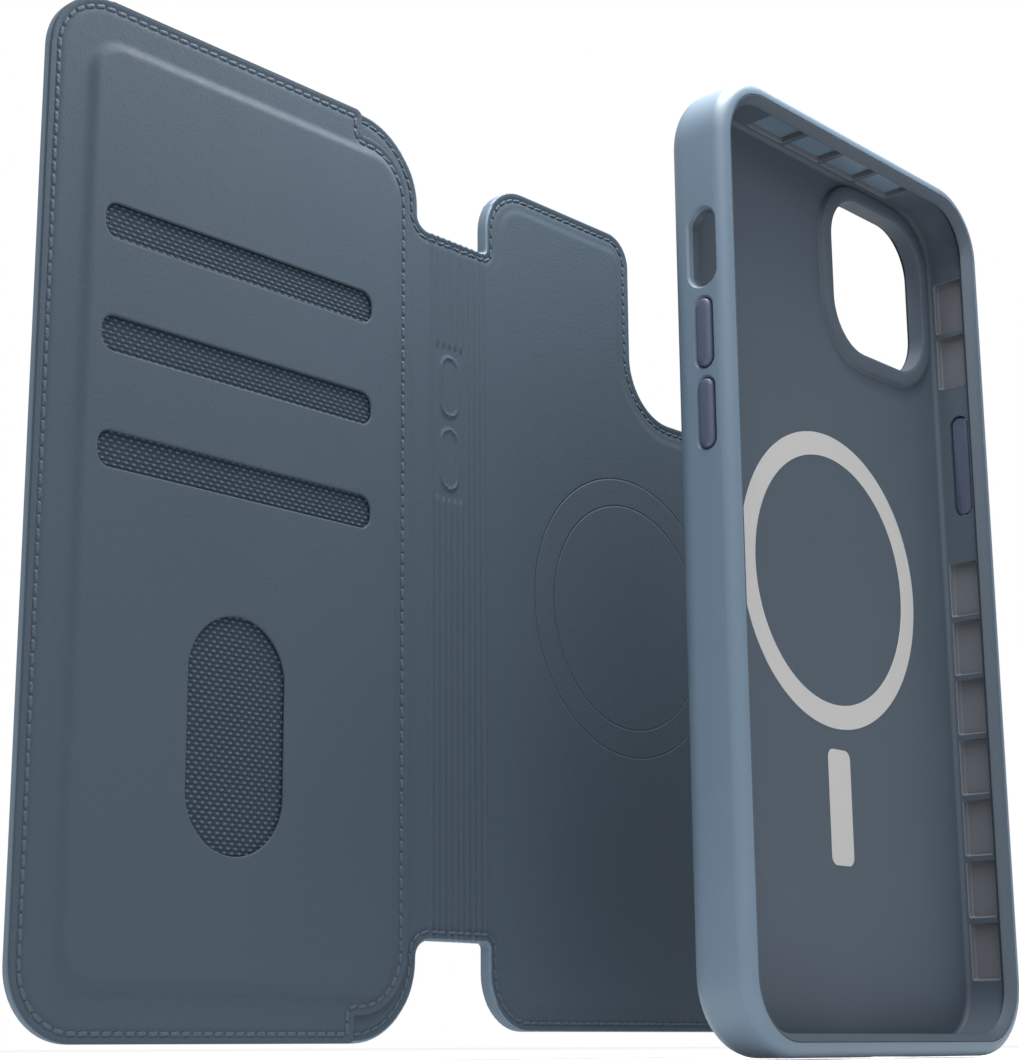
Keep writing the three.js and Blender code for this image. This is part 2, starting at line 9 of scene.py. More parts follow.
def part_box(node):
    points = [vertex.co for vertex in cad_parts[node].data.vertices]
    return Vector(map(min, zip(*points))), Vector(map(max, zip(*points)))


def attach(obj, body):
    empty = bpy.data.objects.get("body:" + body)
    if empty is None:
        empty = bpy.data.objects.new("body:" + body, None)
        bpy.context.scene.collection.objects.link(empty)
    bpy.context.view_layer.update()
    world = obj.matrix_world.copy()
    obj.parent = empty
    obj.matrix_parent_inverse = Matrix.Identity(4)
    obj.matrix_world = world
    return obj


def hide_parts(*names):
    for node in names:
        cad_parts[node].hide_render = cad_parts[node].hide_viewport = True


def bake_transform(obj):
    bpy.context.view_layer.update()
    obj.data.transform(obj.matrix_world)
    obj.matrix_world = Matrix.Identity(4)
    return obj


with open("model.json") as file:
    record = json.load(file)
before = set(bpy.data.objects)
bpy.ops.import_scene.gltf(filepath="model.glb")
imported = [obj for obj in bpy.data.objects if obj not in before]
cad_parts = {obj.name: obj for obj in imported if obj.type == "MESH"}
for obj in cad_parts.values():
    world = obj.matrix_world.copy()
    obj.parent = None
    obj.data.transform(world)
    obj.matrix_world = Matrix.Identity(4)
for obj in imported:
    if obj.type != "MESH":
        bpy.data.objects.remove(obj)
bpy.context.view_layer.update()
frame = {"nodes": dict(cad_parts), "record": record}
mm = 0.001
print("frame loaded")


def lowHigh(node):
    low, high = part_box(node)
    return np.array(low), np.array(high)


panelLow, panelHigh = lowHigh("pocket_panel")
backLow, backHigh = lowHigh("back_lining")
spineLow, spineHigh = lowHigh("spine_lining_front")
ringLow, ringHigh = lowHigh("folio_magnet_ring")
caseRingLow, caseRingHigh = lowHigh("case_ring_cover")
shellLow, shellHigh = lowHigh("case_shell")
linerLow = lowHigh("case_liner")[0]
bezelLow, bezelHigh = lowHigh("camera_bezel")
folds = {joint["name"]: joint["pos_m"] for joint in frame["record"]["behaviour"]["joints"]
         if "pos_m" in joint}
foldX = {name: place[0] for name, place in folds.items()}
faceY = folds["back_fold"][1]
ringX = (ringLow[0] + ringHigh[0]) / 2
ringZ = (ringLow[2] + ringHigh[2]) / 2
caseX = (shellLow[0] + shellHigh[0]) / 2
caseZ = (shellLow[2] + shellHigh[2]) / 2


cameraPlace = {
    "across": -250.8 * mm,
    "away": -218.3 * mm,
    "height": 2.2 * mm,
    "turn": math.radians(46.27),
    "lift": math.radians(12.56),
    "roll": math.radians(-0.28),
    "lens": 68.3,
    "shiftX": 0.0258,
    "shiftY": 0.0637,
}


def makeCamera(p):
    ahead = Vector((math.sin(p["turn"]) * math.cos(p["lift"]),
                    math.cos(p["turn"]) * math.cos(p["lift"]), math.sin(p["lift"])))
    flatRight = Vector((math.cos(p["turn"]), -math.sin(p["turn"]), 0))
    flatUp = flatRight.cross(ahead)
    right = flatRight * math.cos(p["roll"]) + flatUp * math.sin(p["roll"])
    up = flatUp * math.cos(p["roll"]) - flatRight * math.sin(p["roll"])
    data = bpy.data.cameras.new("studioCamera")
    data.lens = p["lens"]
    data.shift_x = p["shiftX"]
    data.shift_y = p["shiftY"]
    data.clip_start = 0.01
    data.clip_end = 50
    camera = bpy.data.objects.new("studioCamera", data)
    bpy.context.scene.collection.objects.link(camera)
    turn = Matrix((right, up, -ahead)).transposed().to_4x4()
    place = Vector((p["across"], p["away"], p["height"]))
    camera.matrix_world = Matrix.Translation(place) @ turn
    bpy.context.scene.camera = camera


makeCamera(cameraPlace)
print("camera set")


class Wire:
    # wraps one number socket, so that shader maths reads as an expression
    def __init__(self, tree, socket):
        self.tree = tree
        self.socket = socket

    def maths(self, operation, *others, flip=False):
        node = self.tree.nodes.new("ShaderNodeMath")
        node.operation = operation
        values = (self,) + others
        if flip:
            values = values[::-1]
        for place, value in zip(node.inputs, values):
            if isinstance(value, Wire):
                self.tree.links.new(value.socket, place)
            else:
                place.default_value = value
        return Wire(self.tree, node.outputs[0])

    def __add__(self, other):
        return self.maths("ADD", other)

    __radd__ = __add__

    def __mul__(self, other):
        return self.maths("MULTIPLY", other)

    __rmul__ = __mul__

    def __sub__(self, other):
        return self.maths("SUBTRACT", other)

    def __rsub__(self, other):
        return self.maths("SUBTRACT", other, flip=True)

    def __truediv__(self, other):
        return self.maths("DIVIDE", other)

    def __pow__(self, other):
        return self.maths("POWER", other)

    def clamped(self):
        return self.maths("MAXIMUM", 0.0).maths("MINIMUM", 1.0)

    def size(self):
        return self.maths("ABSOLUTE")

    def waved(self):
        return self.maths("SINE")


class Finish:
    # one material and its nodes
    def __init__(self, name):
        self.material = bpy.data.materials.new(name)
        self.material.use_nodes = True
        self.tree = self.material.node_tree
        self.shader = self.tree.nodes["Principled BSDF"]

    def node(self, kind, settings=None, **sockets):
        made = self.tree.nodes.new(kind)
        for key, value in (settings or {}).items():
            setattr(made, key, value)
        for key, value in sockets.items():
            self.feed(made.inputs[key.replace("_", " ")], value)
        return made

    def feed(self, place, value):
        if isinstance(value, Wire):
            self.tree.links.new(value.socket, place)
        elif isinstance(value, bpy.types.NodeSocket):
            self.tree.links.new(value, place)
        else:
            place.default_value = value

    def wire(self, socket):
        return Wire(self.tree, socket)

    def places(self):
        coordinates = self.node("ShaderNodeTexCoord").outputs["Object"]
        parts = self.node("ShaderNodeSeparateXYZ", Vector=coordinates)
        return coordinates, [self.wire(parts.outputs[axis]) for axis in "XYZ"]

    def noise(self, where, scale, detail=3.0, rough=0.55):
        made = self.node("ShaderNodeTexNoise", Vector=where, Scale=scale, Detail=detail, Roughness=rough)
        return self.wire(made.outputs["Fac"])

    def cells(self, where, scale, feature="F1"):
        made = self.node("ShaderNodeTexVoronoi", {"feature": feature}, Vector=where, Scale=scale)
        return self.wire(made.outputs["Distance"])

    def blendTones(self, amount, first, second):
        made = self.node("ShaderNodeMix", {"data_type": "RGBA"})
        self.feed(made.inputs[0], amount)
        self.feed(made.inputs[6], first)
        self.feed(made.inputs[7], second)
        return made.outputs[2]

    def bump(self, height, distance, strength):
        made = self.node("ShaderNodeBump", Height=height, Distance=distance, Strength=strength)
        return made.outputs["Normal"]

    def set(self, **sockets):
        for key, value in sockets.items():
            self.feed(self.shader.inputs[key.replace("_", " ")], value)
        return self.material


def tone(red, green, blue):
    # a colour given as 0 to 255 display values
    return tuple(((value / 255 + 0.055) / 1.055) ** 2.4 for value in (red, green, blue)) + (1.0,)


def filleted(corners, turnSegments=14):
    # a closed polygon whose corners (x, z, radius) are rounded with arcs
    count = len(corners)
    points = []
    for index in range(count):
        before = np.array(corners[index - 1][:2], float)
        here = np.array(corners[index][:2], float)
        after = np.array(corners[(index + 1) % count][:2], float)
        radius = corners[index][2]
        toBefore = (before - here) / np.linalg.norm(before - here)
        toAfter = (after - here) / np.linalg.norm(after - here)
        if radius <= 0:
            points.append(here)
            continue
        half = math.acos(np.clip(toBefore @ toAfter, -1, 1)) / 2
        reach = radius / math.tan(half)
        middle = here + (toBefore + toAfter) / np.linalg.norm(toBefore + toAfter) * radius / math.sin(half)
        start = here + toBefore * reach - middle
        end = here + toAfter * reach - middle
        sweep = math.atan2(start[0] * end[1] - start[1] * end[0], start @ end)
        base = math.atan2(start[1], start[0])
        for step in range(turnSegments + 1):
            angle = base + sweep * step / turnSegments
            points.append(middle + radius * np.array((math.cos(angle), math.sin(angle))))
    return np.array(points)


def rectCorners(left, bottom, right, top, radius):
    return [(left, bottom, radius), (right, bottom, radius), (right, top, radius), (left, top, radius)]


def insideDistance(points, outline):
    # signed distance to a closed outline, positive inside, and the direction towards the inside
    runs = np.roll(outline, -1, axis=0) - outline
    lengths = np.maximum((runs ** 2).sum(1), 1e-18)
    distance = np.empty(len(points))
    inward = np.empty((len(points), 2))
    for first in range(0, len(points), 4000):
        some = points[first:first + 4000]
        offset = some[:, None, :] - outline[None]
        share = np.clip((offset * runs[None]).sum(2) / lengths[None], 0, 1)
        gap = offset - share[:, :, None] * runs[None]
        squares = (gap ** 2).sum(2)
        nearest = squares.argmin(1)
        rows = np.arange(len(some))
        away = gap[rows, nearest]
        length = np.sqrt(squares[rows, nearest])
        rises = (offset[:, :, 1] < 0) != (offset[:, :, 1] < runs[None, :, 1])
        slope = runs[:, 0] / np.where(runs[:, 1] == 0, 1e-18, runs[:, 1])
        crossing = outline[None, :, 0] + offset[:, :, 1] * slope[None]
        inside = (rises & (some[:, None, 0] < crossing)).sum(1) % 2 == 1
        sign = np.where(inside, 1.0, -1.0)
        distance[first:first + 4000] = sign * length
        inward[first:first + 4000] = sign[:, None] * away / np.maximum(length, 1e-12)[:, None]
    return distance, inward


def smooth(low, high, value):
    share = np.clip((value - low) / (high - low), 0, 1)
    return share * share * (3 - 2 * share)


def makeMesh(name, vertices, faces, materials, sharp=35.0, marks=None):
    mesh = bpy.data.meshes.new(name)
    mesh.from_pydata([tuple(map(float, vertex)) for vertex in vertices], [],
                     [tuple(map(int, face)) for face in faces])
    for material in materials:
        mesh.materials.append(material)
    if marks is not None:
        mesh.polygons.foreach_set("material_index", marks)
    mesh.validate()
    mesh.update()
    piece = bpy.data.objects.new(name, mesh)
    bpy.context.scene.collection.objects.link(piece)
    softEdges(mesh, sharp)
    return piece


def softEdges(mesh, sharp):
    work = bmesh.new()
    work.from_mesh(mesh)
    bmesh.ops.recalc_face_normals(work, faces=work.faces)
    limit = math.radians(sharp)
    for face in work.faces:
        face.smooth = True
    for edge in work.edges:
        edge.smooth = len(edge.link_faces) == 2 and edge.calc_face_angle(0) < limit
    work.to_mesh(mesh)
    work.free()


def alongCut(direction, onCut):
    # keeps a direction in the plane of a straight cut, longer by as much as it was slanted
    slant = np.clip(np.abs(direction[:, 1]), 0.3, 1)
    straight = np.stack((np.zeros(len(direction)), np.sign(direction[:, 1]) / slant), 1)
    return np.where(onCut[:, None], straight, direction)


def depthInside(points, outline, holes, reach):
    # distance inside an outline and outside its holes, with the way inwards
    depth, inward = insideDistance(points, outline)
    for hole in holes:
        near = ((points > hole.min(0) - reach) & (points < hole.max(0) + reach)).all(1)
        index = np.nonzero(near)[0]
        if len(index):
            holeDepth, holeInward = insideDistance(points[index], hole)
            closer = -holeDepth < depth[index]
            depth[index[closer]] = -holeDepth[closer]
            inward[index[closer]] = -holeInward[closer]
    return depth, inward


def regionGrid(outline, holes, cell, inset, span=None):
    # quads that fill the outline less its holes, drawn in by inset, with their rim on the true curve
    cell = np.array(cell)
    slack = 0.3 * cell.min()
    low = outline.min(0)
    high = outline.max(0)
    cuts = []
    if span is not None:
        cuts = [side for side in span if low[0] + 1e-7 < side < high[0] - 1e-7]
        low[0], high[0] = span
    counts = np.maximum(np.ceil((high - low) / cell).astype(int), 1)
    xs = np.linspace(low[0], high[0], counts[0] + 1)
    zs = np.linspace(low[1], high[1], counts[1] + 1)
    gridX, gridZ = np.meshgrid(xs, zs, indexing="ij")
    points = np.stack((gridX.ravel(), gridZ.ravel()), 1)
    onCut = np.zeros(len(points), bool)
    for side in cuts:
        onCut |= np.abs(points[:, 0] - side) < 1e-9
    reach = 6 * mm
    depth, inward = depthInside(points, outline, holes, reach)
    rows = counts[1] + 1
    corner = (np.arange(counts[0])[:, None] * rows + np.arange(counts[1])[None]).ravel()
    quads = np.stack((corner, corner + rows, corner + rows + 1, corner + 1), 1)
    quads = quads[(depth[quads] > inset + slack).any(1)]
    used = np.unique(quads)
    move = used[depth[used] < inset + slack]
    for _ in range(4):
        step = alongCut(inward[move], onCut[move])
        points[move] += step * (inset - depth[move])[:, None]
        depth[move], inward[move] = depthInside(points[move], outline, holes, reach)
    place = -np.ones(len(points), int)
    place[used] = np.arange(len(used))
    return points[used], place[quads], depth[used], inward[used], onCut[used]


def atLevel(path, y):
    # a flat outline or set of points lifted to its place along Y
    return np.stack((path[:, 0], np.full(len(path), y), path[:, 1]), 1)


def boundaryEdges(quads):
    edges = np.concatenate([quads[:, [0, 1]], quads[:, [1, 2]], quads[:, [2, 3]], quads[:, [3, 0]]])
    keys = np.sort(edges, 1)
    _, first, counts = np.unique(keys, axis=0, return_index=True, return_counts=True)
    return edges[first[counts == 1]]


def softSheet(name, outline, holes, cell, frontOf, backOf, edge, materials, span=None):
    # a closed sheet: two shaped faces with a rounded rim all round, cut straight where a span ends it
    points, quads, depth, inward, onCut = regionGrid(outline, holes, cell, edge, span)
    frontY = frontOf(points[:, 0], points[:, 1], depth)
    backY = backOf(points[:, 0], points[:, 1], depth)
    count = len(points)
    vertices = [atLevel(points, frontY), atLevel(points, backY)]
    faces = [quads, quads[:, ::-1] + count]
    rim = boundaryEdges(quads)
    rimPoints = np.unique(rim)
    place = -np.ones(count, int)
    place[rimPoints] = np.arange(len(rimPoints))
    straight = onCut[rimPoints] & (depth[rimPoints] > edge + 0.05 * mm)
    out = alongCut(-inward[rimPoints], onCut[rimPoints])
    reach = np.where(straight, 0.0, edge)
    half = (backY - frontY)[rimPoints] / 2
    soft = np.minimum(edge, half)
    turns = 5
    levels = [rimPoints]
    for side in (1, -1):
        face = (frontY if side > 0 else backY)[rimPoints]
        for step in range(1, turns + 1) if side > 0 else range(turns, 0, -1):
            angle = step / turns * math.pi / 2
            spread = points[rimPoints] + out * (reach * math.sin(angle))[:, None]
            drop = np.where(straight, half * step / turns, soft * (1 - math.cos(angle)))
            levels.append(sum(len(part) for part in vertices) + np.arange(len(rimPoints)))
            vertices.append(atLevel(spread, face + side * drop))
    levels.append(rimPoints + count)
    start = place[rim[:, 0]]
    end = place[rim[:, 1]]
    for upper, lower in zip(levels[:-1], levels[1:]):
        faces.append(np.stack((upper[end], upper[start], lower[start], lower[end]), 1))
    marks = np.zeros(sum(len(part) for part in faces), int)
    if len(materials) > 1:
        marks[2 * len(quads):] = 1
    return makeMesh(name, np.concatenate(vertices), np.concatenate(faces), materials, marks=marks)


def lofted(name, rings, material, closed=False, sharp=35.0):
    # rings of the same point count joined by quads, capped unless the last ring meets the first
    count = len(rings[0])
    vertices = np.concatenate(rings)
    faces = []
    last = len(rings) if closed else len(rings) - 1
    for level in range(last):
        upper = level * count
        lower = (level + 1) % len(rings) * count
        for index in range(count):
            follow = (index + 1) % count
            faces.append((upper + index, upper + follow, lower + follow, lower + index))
    if not closed:
        faces.append(tuple(range(count))[::-1])
        faces.append(tuple(range((len(rings) - 1) * count, len(rings) * count)))
    return makeMesh(name, vertices, faces, [material], sharp)


def carve(piece, tools, operation="DIFFERENCE"):
    # exact booleans, applied at once
    for tool in tools:
        change = piece.modifiers.new("carve", "BOOLEAN")
        change.operation = operation
        change.solver = "EXACT"
        change.material_mode = "TRANSFER"
        change.object = tool
    graph = bpy.context.evaluated_depsgraph_get()
    result = bpy.data.meshes.new_from_object(piece.evaluated_get(graph))
    piece.modifiers.clear()
    old = piece.data
    piece.data = result
    bpy.data.meshes.remove(old)
    for tool in tools:
        data = tool.data
        bpy.data.objects.remove(tool)
        bpy.data.meshes.remove(data)
    return piece


def resampled(path, pitch):
    # points at even steps along a closed path, with the heading at each
    runs = np.roll(path, -1, axis=0) - path
    lengths = np.linalg.norm(runs, axis=1)
    ends = np.concatenate(([0], np.cumsum(lengths)))
    count = max(int(round(ends[-1] / pitch)), 3)
    found = []
    for index in range(count):
        at = ends[-1] * index / count
        segment = min(np.searchsorted(ends, at, side="right") - 1, len(path) - 1)
        share = (at - ends[segment]) / max(lengths[segment], 1e-12)
        heading = runs[segment] / max(lengths[segment], 1e-12)
        found.append((path[segment] + runs[segment] * share, heading))
    return found


def stitches(name, path, heightOf, material, p, keep=None):
    # one slanted capsule of thread for each stitch, dipping into its holes at both ends
    vertices = []
    faces = []
    for centre, heading in resampled(path, p["pitch"]):
        if keep is not None and not keep(centre):
            continue
        tilt = math.radians(p["slant"])
        along = np.array((heading[0] * math.cos(tilt) - heading[1] * math.sin(tilt),
                          heading[0] * math.sin(tilt) + heading[1] * math.cos(tilt)))
        across = np.array((-along[1], along[0]))
        base = len(vertices)
        for ring in range(p["rings"]):
            share = ring / (p["rings"] - 1) * 2 - 1
            swell = math.sqrt(max(1 - abs(share) ** 7, 0.12))
            spot = centre + along * share * p["length"] / 2
            height = heightOf(spot[0], spot[1])
            dip = p["sink"] * abs(share) ** 6
            for side in range(p["sides"]):
                angle = side / p["sides"] * 2 * math.pi
                flat = spot + across * math.cos(angle) * swell * p["width"] / 2
                y = height + p["outward"] * (math.sin(angle) * swell * p["thick"] / 2 - dip + p["stand"])
                vertices.append((flat[0], y, flat[1]))
        for ring in range(p["rings"] - 1):
            for side in range(p["sides"]):
                follow = (side + 1) % p["sides"]
                here = base + ring * p["sides"]
                there = here + p["sides"]
                faces.append((here + side, here + follow, there + follow, there + side))
        faces.append(tuple(base + side for side in range(p["sides"]))[::-1])
        top = base + (p["rings"] - 1) * p["sides"]
        faces.append(tuple(top + side for side in range(p["sides"])))
    return makeMesh(name, vertices, faces, [material], 60)


leatherValues = {
    "deep": tone(45, 56, 66),
    "light": tone(53, 64, 74),
    "grain": 2300.0,
    "fine": 5200.0,
    "roughness": 0.72,
    "ringReach": 0.46 * mm,
    "ringBand": 5.41 * mm,
    "ringLine": 0.24 * mm,
}


def leather(name, p, ringed=False):
    f = Finish(name)
    where, (x, _, z) = f.places()
    cloud = f.noise(where, 26.0, 3.0)
    mottle = f.noise(where, 420.0, 3.0)
    pebble = f.cells(where, p["grain"], "SMOOTH_F1")
    pores = f.noise(where, p["fine"], 2.0)
    amount = (cloud - 0.5) * 0.5 + (pores - 0.5) * 0.9 + (mottle - 0.5) * 0.3 + 0.55 - pebble * 0.2
    height = pebble * -0.7 + pores * 0.6
    if ringed:
        outer = (ringHigh[0] - ringLow[0]) / 2 + p["ringReach"]
        across = x - ringX
        along = z - ringZ
        radius = (across * across + along * along) ** 0.5
        outerLine = (1.0 - ((radius - outer) / p["ringLine"]).size()).clamped()
        innerLine = (1.0 - ((radius - (outer - p["ringBand"])) / p["ringLine"]).size()).clamped()
        line = outerLine + innerLine
        height = height - line * 5.0
        # the ring's groove lines are also painted darker in colour: painted shade in the embossed grooves
        amount = amount - line * 0.5
    colour = f.blendTones(amount.clamped(), p["deep"], p["light"])
    rough = ((mottle - 0.5) * 0.2 + p["roughness"] + pebble * 0.06).clamped()
    return f.set(Base_Color=colour, Roughness=rough, Normal=f.bump(height, 0.00009, 0.5),
                 Specular_IOR_Level=0.15)


def threadFinish():
    f = Finish("waxedThread")
    where, (x, y, z) = f.places()
    twist = ((x + z + y) * 9000.0).waved()
    fuzz = f.noise(where, 5200.0)
    amount = (twist * 0.15 + fuzz * 0.6 + 0.2).clamped()
    colour = f.blendTones(amount, tone(49, 61, 72), tone(63, 75, 86))
    return f.set(Base_Color=colour, Roughness=(fuzz * 0.2 + 0.55), Normal=f.bump(twist, 0.00004, 0.5),
                 Specular_IOR_Level=0.15)


weaveValues = {
    "float": 1.5 * mm,
    "pair": 1.5 * mm,
    "sharp": 1.8,
    "rise": 0.2 * mm,
    "under": 0.08 * mm,
    # deep is the painted shade tone in the dips between floats, light the painted highlight tone on their
    # crowns
    "deep": tone(29, 39, 49),
    "light": tone(67, 79, 91),
}


def weaveFinish(p):
    # floats of yarn in rows half a float apart, painted lighter on their crowns and darker in the dips
    # between them: painted highlight and painted shade over the woven relief
    f = Finish("pocketWeave")
    where, (x, _, z) = f.places()
    turn = 2 * math.pi
    run = (x * (turn / p["float"])).maths("COSINE") * p["sharp"]
    row = (z * (turn / p["pair"])).maths("COSINE")
    crown = run.maths("MAXIMUM", -1.0).maths("MINIMUM", 1.0) * row * row * row
    fuzz = f.noise(where, 4200.0)
    # colour lighter on the yarn crowns and darker in the dips: painted highlight and painted shade
    amount = (crown.maths("MAXIMUM", 0.0) * 0.85 + crown.size() * 0.1 + (fuzz - 0.5) * 0.5).clamped()
    return f.set(Base_Color=f.blendTones(amount, p["deep"], p["light"]), Roughness=(fuzz * 0.15 + 0.72),
                 Normal=f.bump(fuzz, 0.0001, 0.4), Specular_IOR_Level=0.12)


def moulded(name, deep, light, roughness, texture, strength):
    f = Finish(name)
    where, _ = f.places()
    spark = f.noise(where, texture, 3.0, 0.7)
    cloud = f.noise(where, 30.0, 3.0)
    amount = ((spark - 0.5) * 1.1 + (cloud - 0.5) * 0.5 + 0.5).clamped()
    rough = ((spark - 0.5) * 0.2 + roughness + (cloud - 0.5) * 0.1).clamped()
    return f.set(Base_Color=f.blendTones(amount, deep, light), Roughness=rough,
                 Normal=f.bump(spark, 0.00005, strength), Specular_IOR_Level=0.3)


def metalFinish():
    f = Finish("platedMagnet")
    where, _ = f.places()
    brushed = f.noise(where, 900.0, 4.0)
    colour = f.blendTones(brushed, (0.42, 0.42, 0.43, 1), (0.6, 0.6, 0.61, 1))
    return f.set(Base_Color=colour, Metallic=1.0, Roughness=(brushed * 0.3 + 0.2),
                 Normal=f.bump(brushed, 0.00004, 0.4))


def boardFinish():
    f = Finish("stiffenerBoard")
    where, _ = f.places()
    fibre = f.noise(where, 1500.0, 5.0)
    return f.set(Base_Color=f.blendTones(fibre, (0.24, 0.24, 0.23, 1), (0.36, 0.35, 0.33, 1)),
                 Roughness=(fibre * 0.2 + 0.7), Normal=f.bump(fibre, 0.00005, 0.5))


panelLeather = leather("panelLeather", leatherValues)
skinLeather = leather("skinLeather", leatherValues)
liningLeather = leather("liningLeather", leatherValues, ringed=True)
paintedEdge = moulded("paintedEdge", tone(68, 83, 97), tone(77, 93, 107), 0.5, 1800.0, 0.3)
thread = threadFinish()
weave = weaveFinish(weaveValues)
shellSatin = moulded("shellSatin", tone(77, 93, 108), tone(85, 102, 117), 0.44, 2600.0, 0.3)
linerSoft = moulded("linerSoft", tone(50, 60, 70), tone(58, 68, 79), 0.62, 2300.0, 0.6)
recessGrey = moulded("recessGrey", tone(74, 78, 84), tone(84, 88, 94), 0.6, 2000.0, 0.3)
filmGrey = moulded("filmGrey", tone(144, 144, 144), tone(151, 151, 151), 0.6, 2500.0, 0.3)
buttonBlue = moulded("buttonBlue", tone(56, 63, 80), tone(64, 71, 90), 0.4, 2600.0, 0.25)
bezelBlack = moulded("bezelBlack", tone(12, 12, 14), tone(22, 22, 24), 0.25, 2400.0, 0.15)
magnetMetal = metalFinish()
board = boardFinish()
print("finishes made")


folio = {
    "wrapReach": 80.0 * mm,        # right edge of the wrap, from the free edge
    "wrapCorner": 14 * mm,
    "coverCorner": 11 * mm,
    "panelCorner": 10.6 * mm,
    "panelStep": 4.5 * mm,
    "panelStepAt": 65.5 * mm,
    "noseCorner": 1.0 * mm,
    "crookCorner": 0.5 * mm,
    "spineFillet": 2.8 * mm,
    "seamFillet": 1.0 * mm,
    "backCorner": 10 * mm,
    "notchLeft": 42 * mm,
    "notchDepth": 37 * mm,
    "notchCorner": 12 * mm,
    "tabCorner": 6 * mm,
    "shoulderCorner": 8 * mm,
    "edge": 0.42 * mm,
    "plateauRise": 0.75 * mm,
    "stitchInset": 1.5 * mm,
    "groove": 0.28 * mm,
    "grooveHalf": 0.5 * mm,
    "stitchClear": 0.75 * mm,
    "ridgePitch": 1.489 * mm,
    "ridgeCount": 10,
    "ridgeRise": 0.3 * mm,
    "ridgeShift": 1.7 * mm,
    "patchShift": 2.2 * mm,
    "patchLift": 28.6 * mm,
    "patchWidth": 7.4 * mm,
    "patchHeight": 29 * mm,
    "pillLength": 11.6 * mm,
    "pillWidth": 4.75 * mm,
    "pillGap": 2.1 * mm,
    "pillRise": 0.3 * mm,
    "pillLine": 0.28 * mm,
    "wrapStep": 0.16 * mm,
    "spineStep": 0.34 * mm,
    "dockRise": 0.22 * mm,
    "liningThick": 0.66 * mm,
    "skinThick": 2.2 * mm,
    "skinSwell": 0.5 * mm,
}

left = panelLow[0]
coverBottom = panelLow[2]
coverTop = panelHigh[2]
panelRight = panelHigh[0]
backLeft = backLow[0]
backRight = backHigh[0]
backBottom = backLow[2]
backTop = backHigh[2]
spineBottom = spineLow[2]
spineTop = spineHigh[2]


def skinOutline(p, inset=0.0):
    # outer curves tighten and inner curves open as the line is drawn in
    west = left + inset
    right = left + p["wrapReach"] - inset
    seam = backLeft + inset
    east = backRight - inset
    notchX = backLeft + p["notchLeft"] - inset
    notchZ = backTop - p["notchDepth"] - inset
    cover = p["coverCorner"] - inset
    wrap = p["wrapCorner"] - inset
    back = p["backCorner"] - inset
    spine = p["spineFillet"] + inset
    crease = p["seamFillet"] + inset
    return filleted([
        (west, coverBottom + inset, cover),
        (right, coverBottom + inset, wrap),
        (right, spineBottom + inset, spine),
        (seam, spineBottom + inset, crease),
        (seam, backBottom + inset, back),
        (east, backBottom + inset, back),
        (east, notchZ, p["shoulderCorner"] - inset),
        (notchX, notchZ, p["notchCorner"] + inset),
        (notchX, backTop - inset, p["tabCorner"] - inset),
        (seam, backTop - inset, back),
        (seam, spineTop - inset, crease),
        (right, spineTop - inset, spine),
        (right, coverTop - inset, wrap),
        (west, coverTop - inset, cover)])


def panelOutline(p, inset=0.0):
    stepX = left + p["panelStepAt"] - inset
    bottom = coverBottom + inset
    top = coverTop - inset
    step = p["panelStep"]
    right = panelRight - inset
    near = p["coverCorner"] - inset
    far = p["panelCorner"] - inset
    nose = max(p["noseCorner"] - inset, 0.3 * mm)
    crook = p["crookCorner"] + inset
    return filleted([
        (left + inset, bottom, near),
        (stepX, bottom, nose),
        (stepX, bottom + step, crook),
        (right, bottom + step, far),
        (right, top - step, far),
        (stepX, top - step, crook),
        (stepX, top, nose),
        (left + inset, top, near)])


slots = {
    "left": 10.9 * mm,
    "width": 56.6 * mm,
    "height": 5.8 * mm,
    "pitch": 18.55 * mm,
    "top": 34.3 * mm,
    "count": 3,
    "corner": 2.3 * mm,
    "thumbWidth": 19.6 * mm,
    "thumbHeight": 38 * mm,
    "thumbX": 39.1 * mm,
    "thumbZ": 47.4 * mm,
}


def windowOutlines(p, grow=0.0):
    found = []
    for index in range(p["count"]):
        top = coverTop - p["top"] - index * p["pitch"]
        found.append(filleted(rectCorners(
            left + p["left"] - grow, top - p["height"] - grow,
            left + p["left"] + p["width"] + grow, top + grow, p["corner"] + grow), 8))
    middleX = left + p["thumbX"]
    middleZ = coverBottom + p["thumbZ"]
    halfWide = p["thumbWidth"] / 2 + grow
    halfTall = p["thumbHeight"] / 2 + grow
    found.append(filleted(rectCorners(middleX - halfWide, middleZ - halfTall, middleX + halfWide,
                                      middleZ + halfTall, halfWide * 0.999), 20))
    return found


def plateauDepth(x, z):
    # distance inside the padded middle of the pocket panel
    outline = filleted(rectCorners(left + 7.6 * mm, coverBottom + 8.2 * mm, panelRight - 3.4 * mm,
                                   coverTop - 7.4 * mm, 6 * mm))
    return insideDistance(np.stack((x, z), 1), outline)[0]


def ripple(x, z, size):
    # slow hand-made unevenness of a leather face
    return size * (np.sin(x * 173 + z * 61) * np.sin(z * 97 - x * 41) + 0.5 * np.sin(x * 410 + 1.7)
                   * np.sin(z * 330 + 0.6))


def channel(depth, at, width):
    return np.exp(-((depth - at) / width) ** 2)


def panelFront(x, z, depth):
    p = folio
    rise = smooth(-1.0 * mm, 1.2 * mm, plateauDepth(x, z)) * p["plateauRise"]
    inside = insideDistance(np.stack((x, z), 1), panelOutline(p))[0]
    seam = channel(inside, p["stitchInset"], p["grooveHalf"])
    return faceY - rise + p["groove"] * seam + ripple(x, z, 0.02 * mm)


def panelBack(x, z, depth):
    return faceY + 0.6 * mm - smooth(-1.0 * mm, 1.5 * mm, plateauDepth(x, z)) * 0.85 * mm


def makePocketPanel(p):
    piece = softSheet("pocket_leather", panelOutline(p), windowOutlines(slots), (0.4 * mm, 0.4 * mm),
                      panelFront, panelBack, p["edge"] * 0.62, [panelLeather])
    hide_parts("pocket_panel")
    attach(piece, "front_cover")


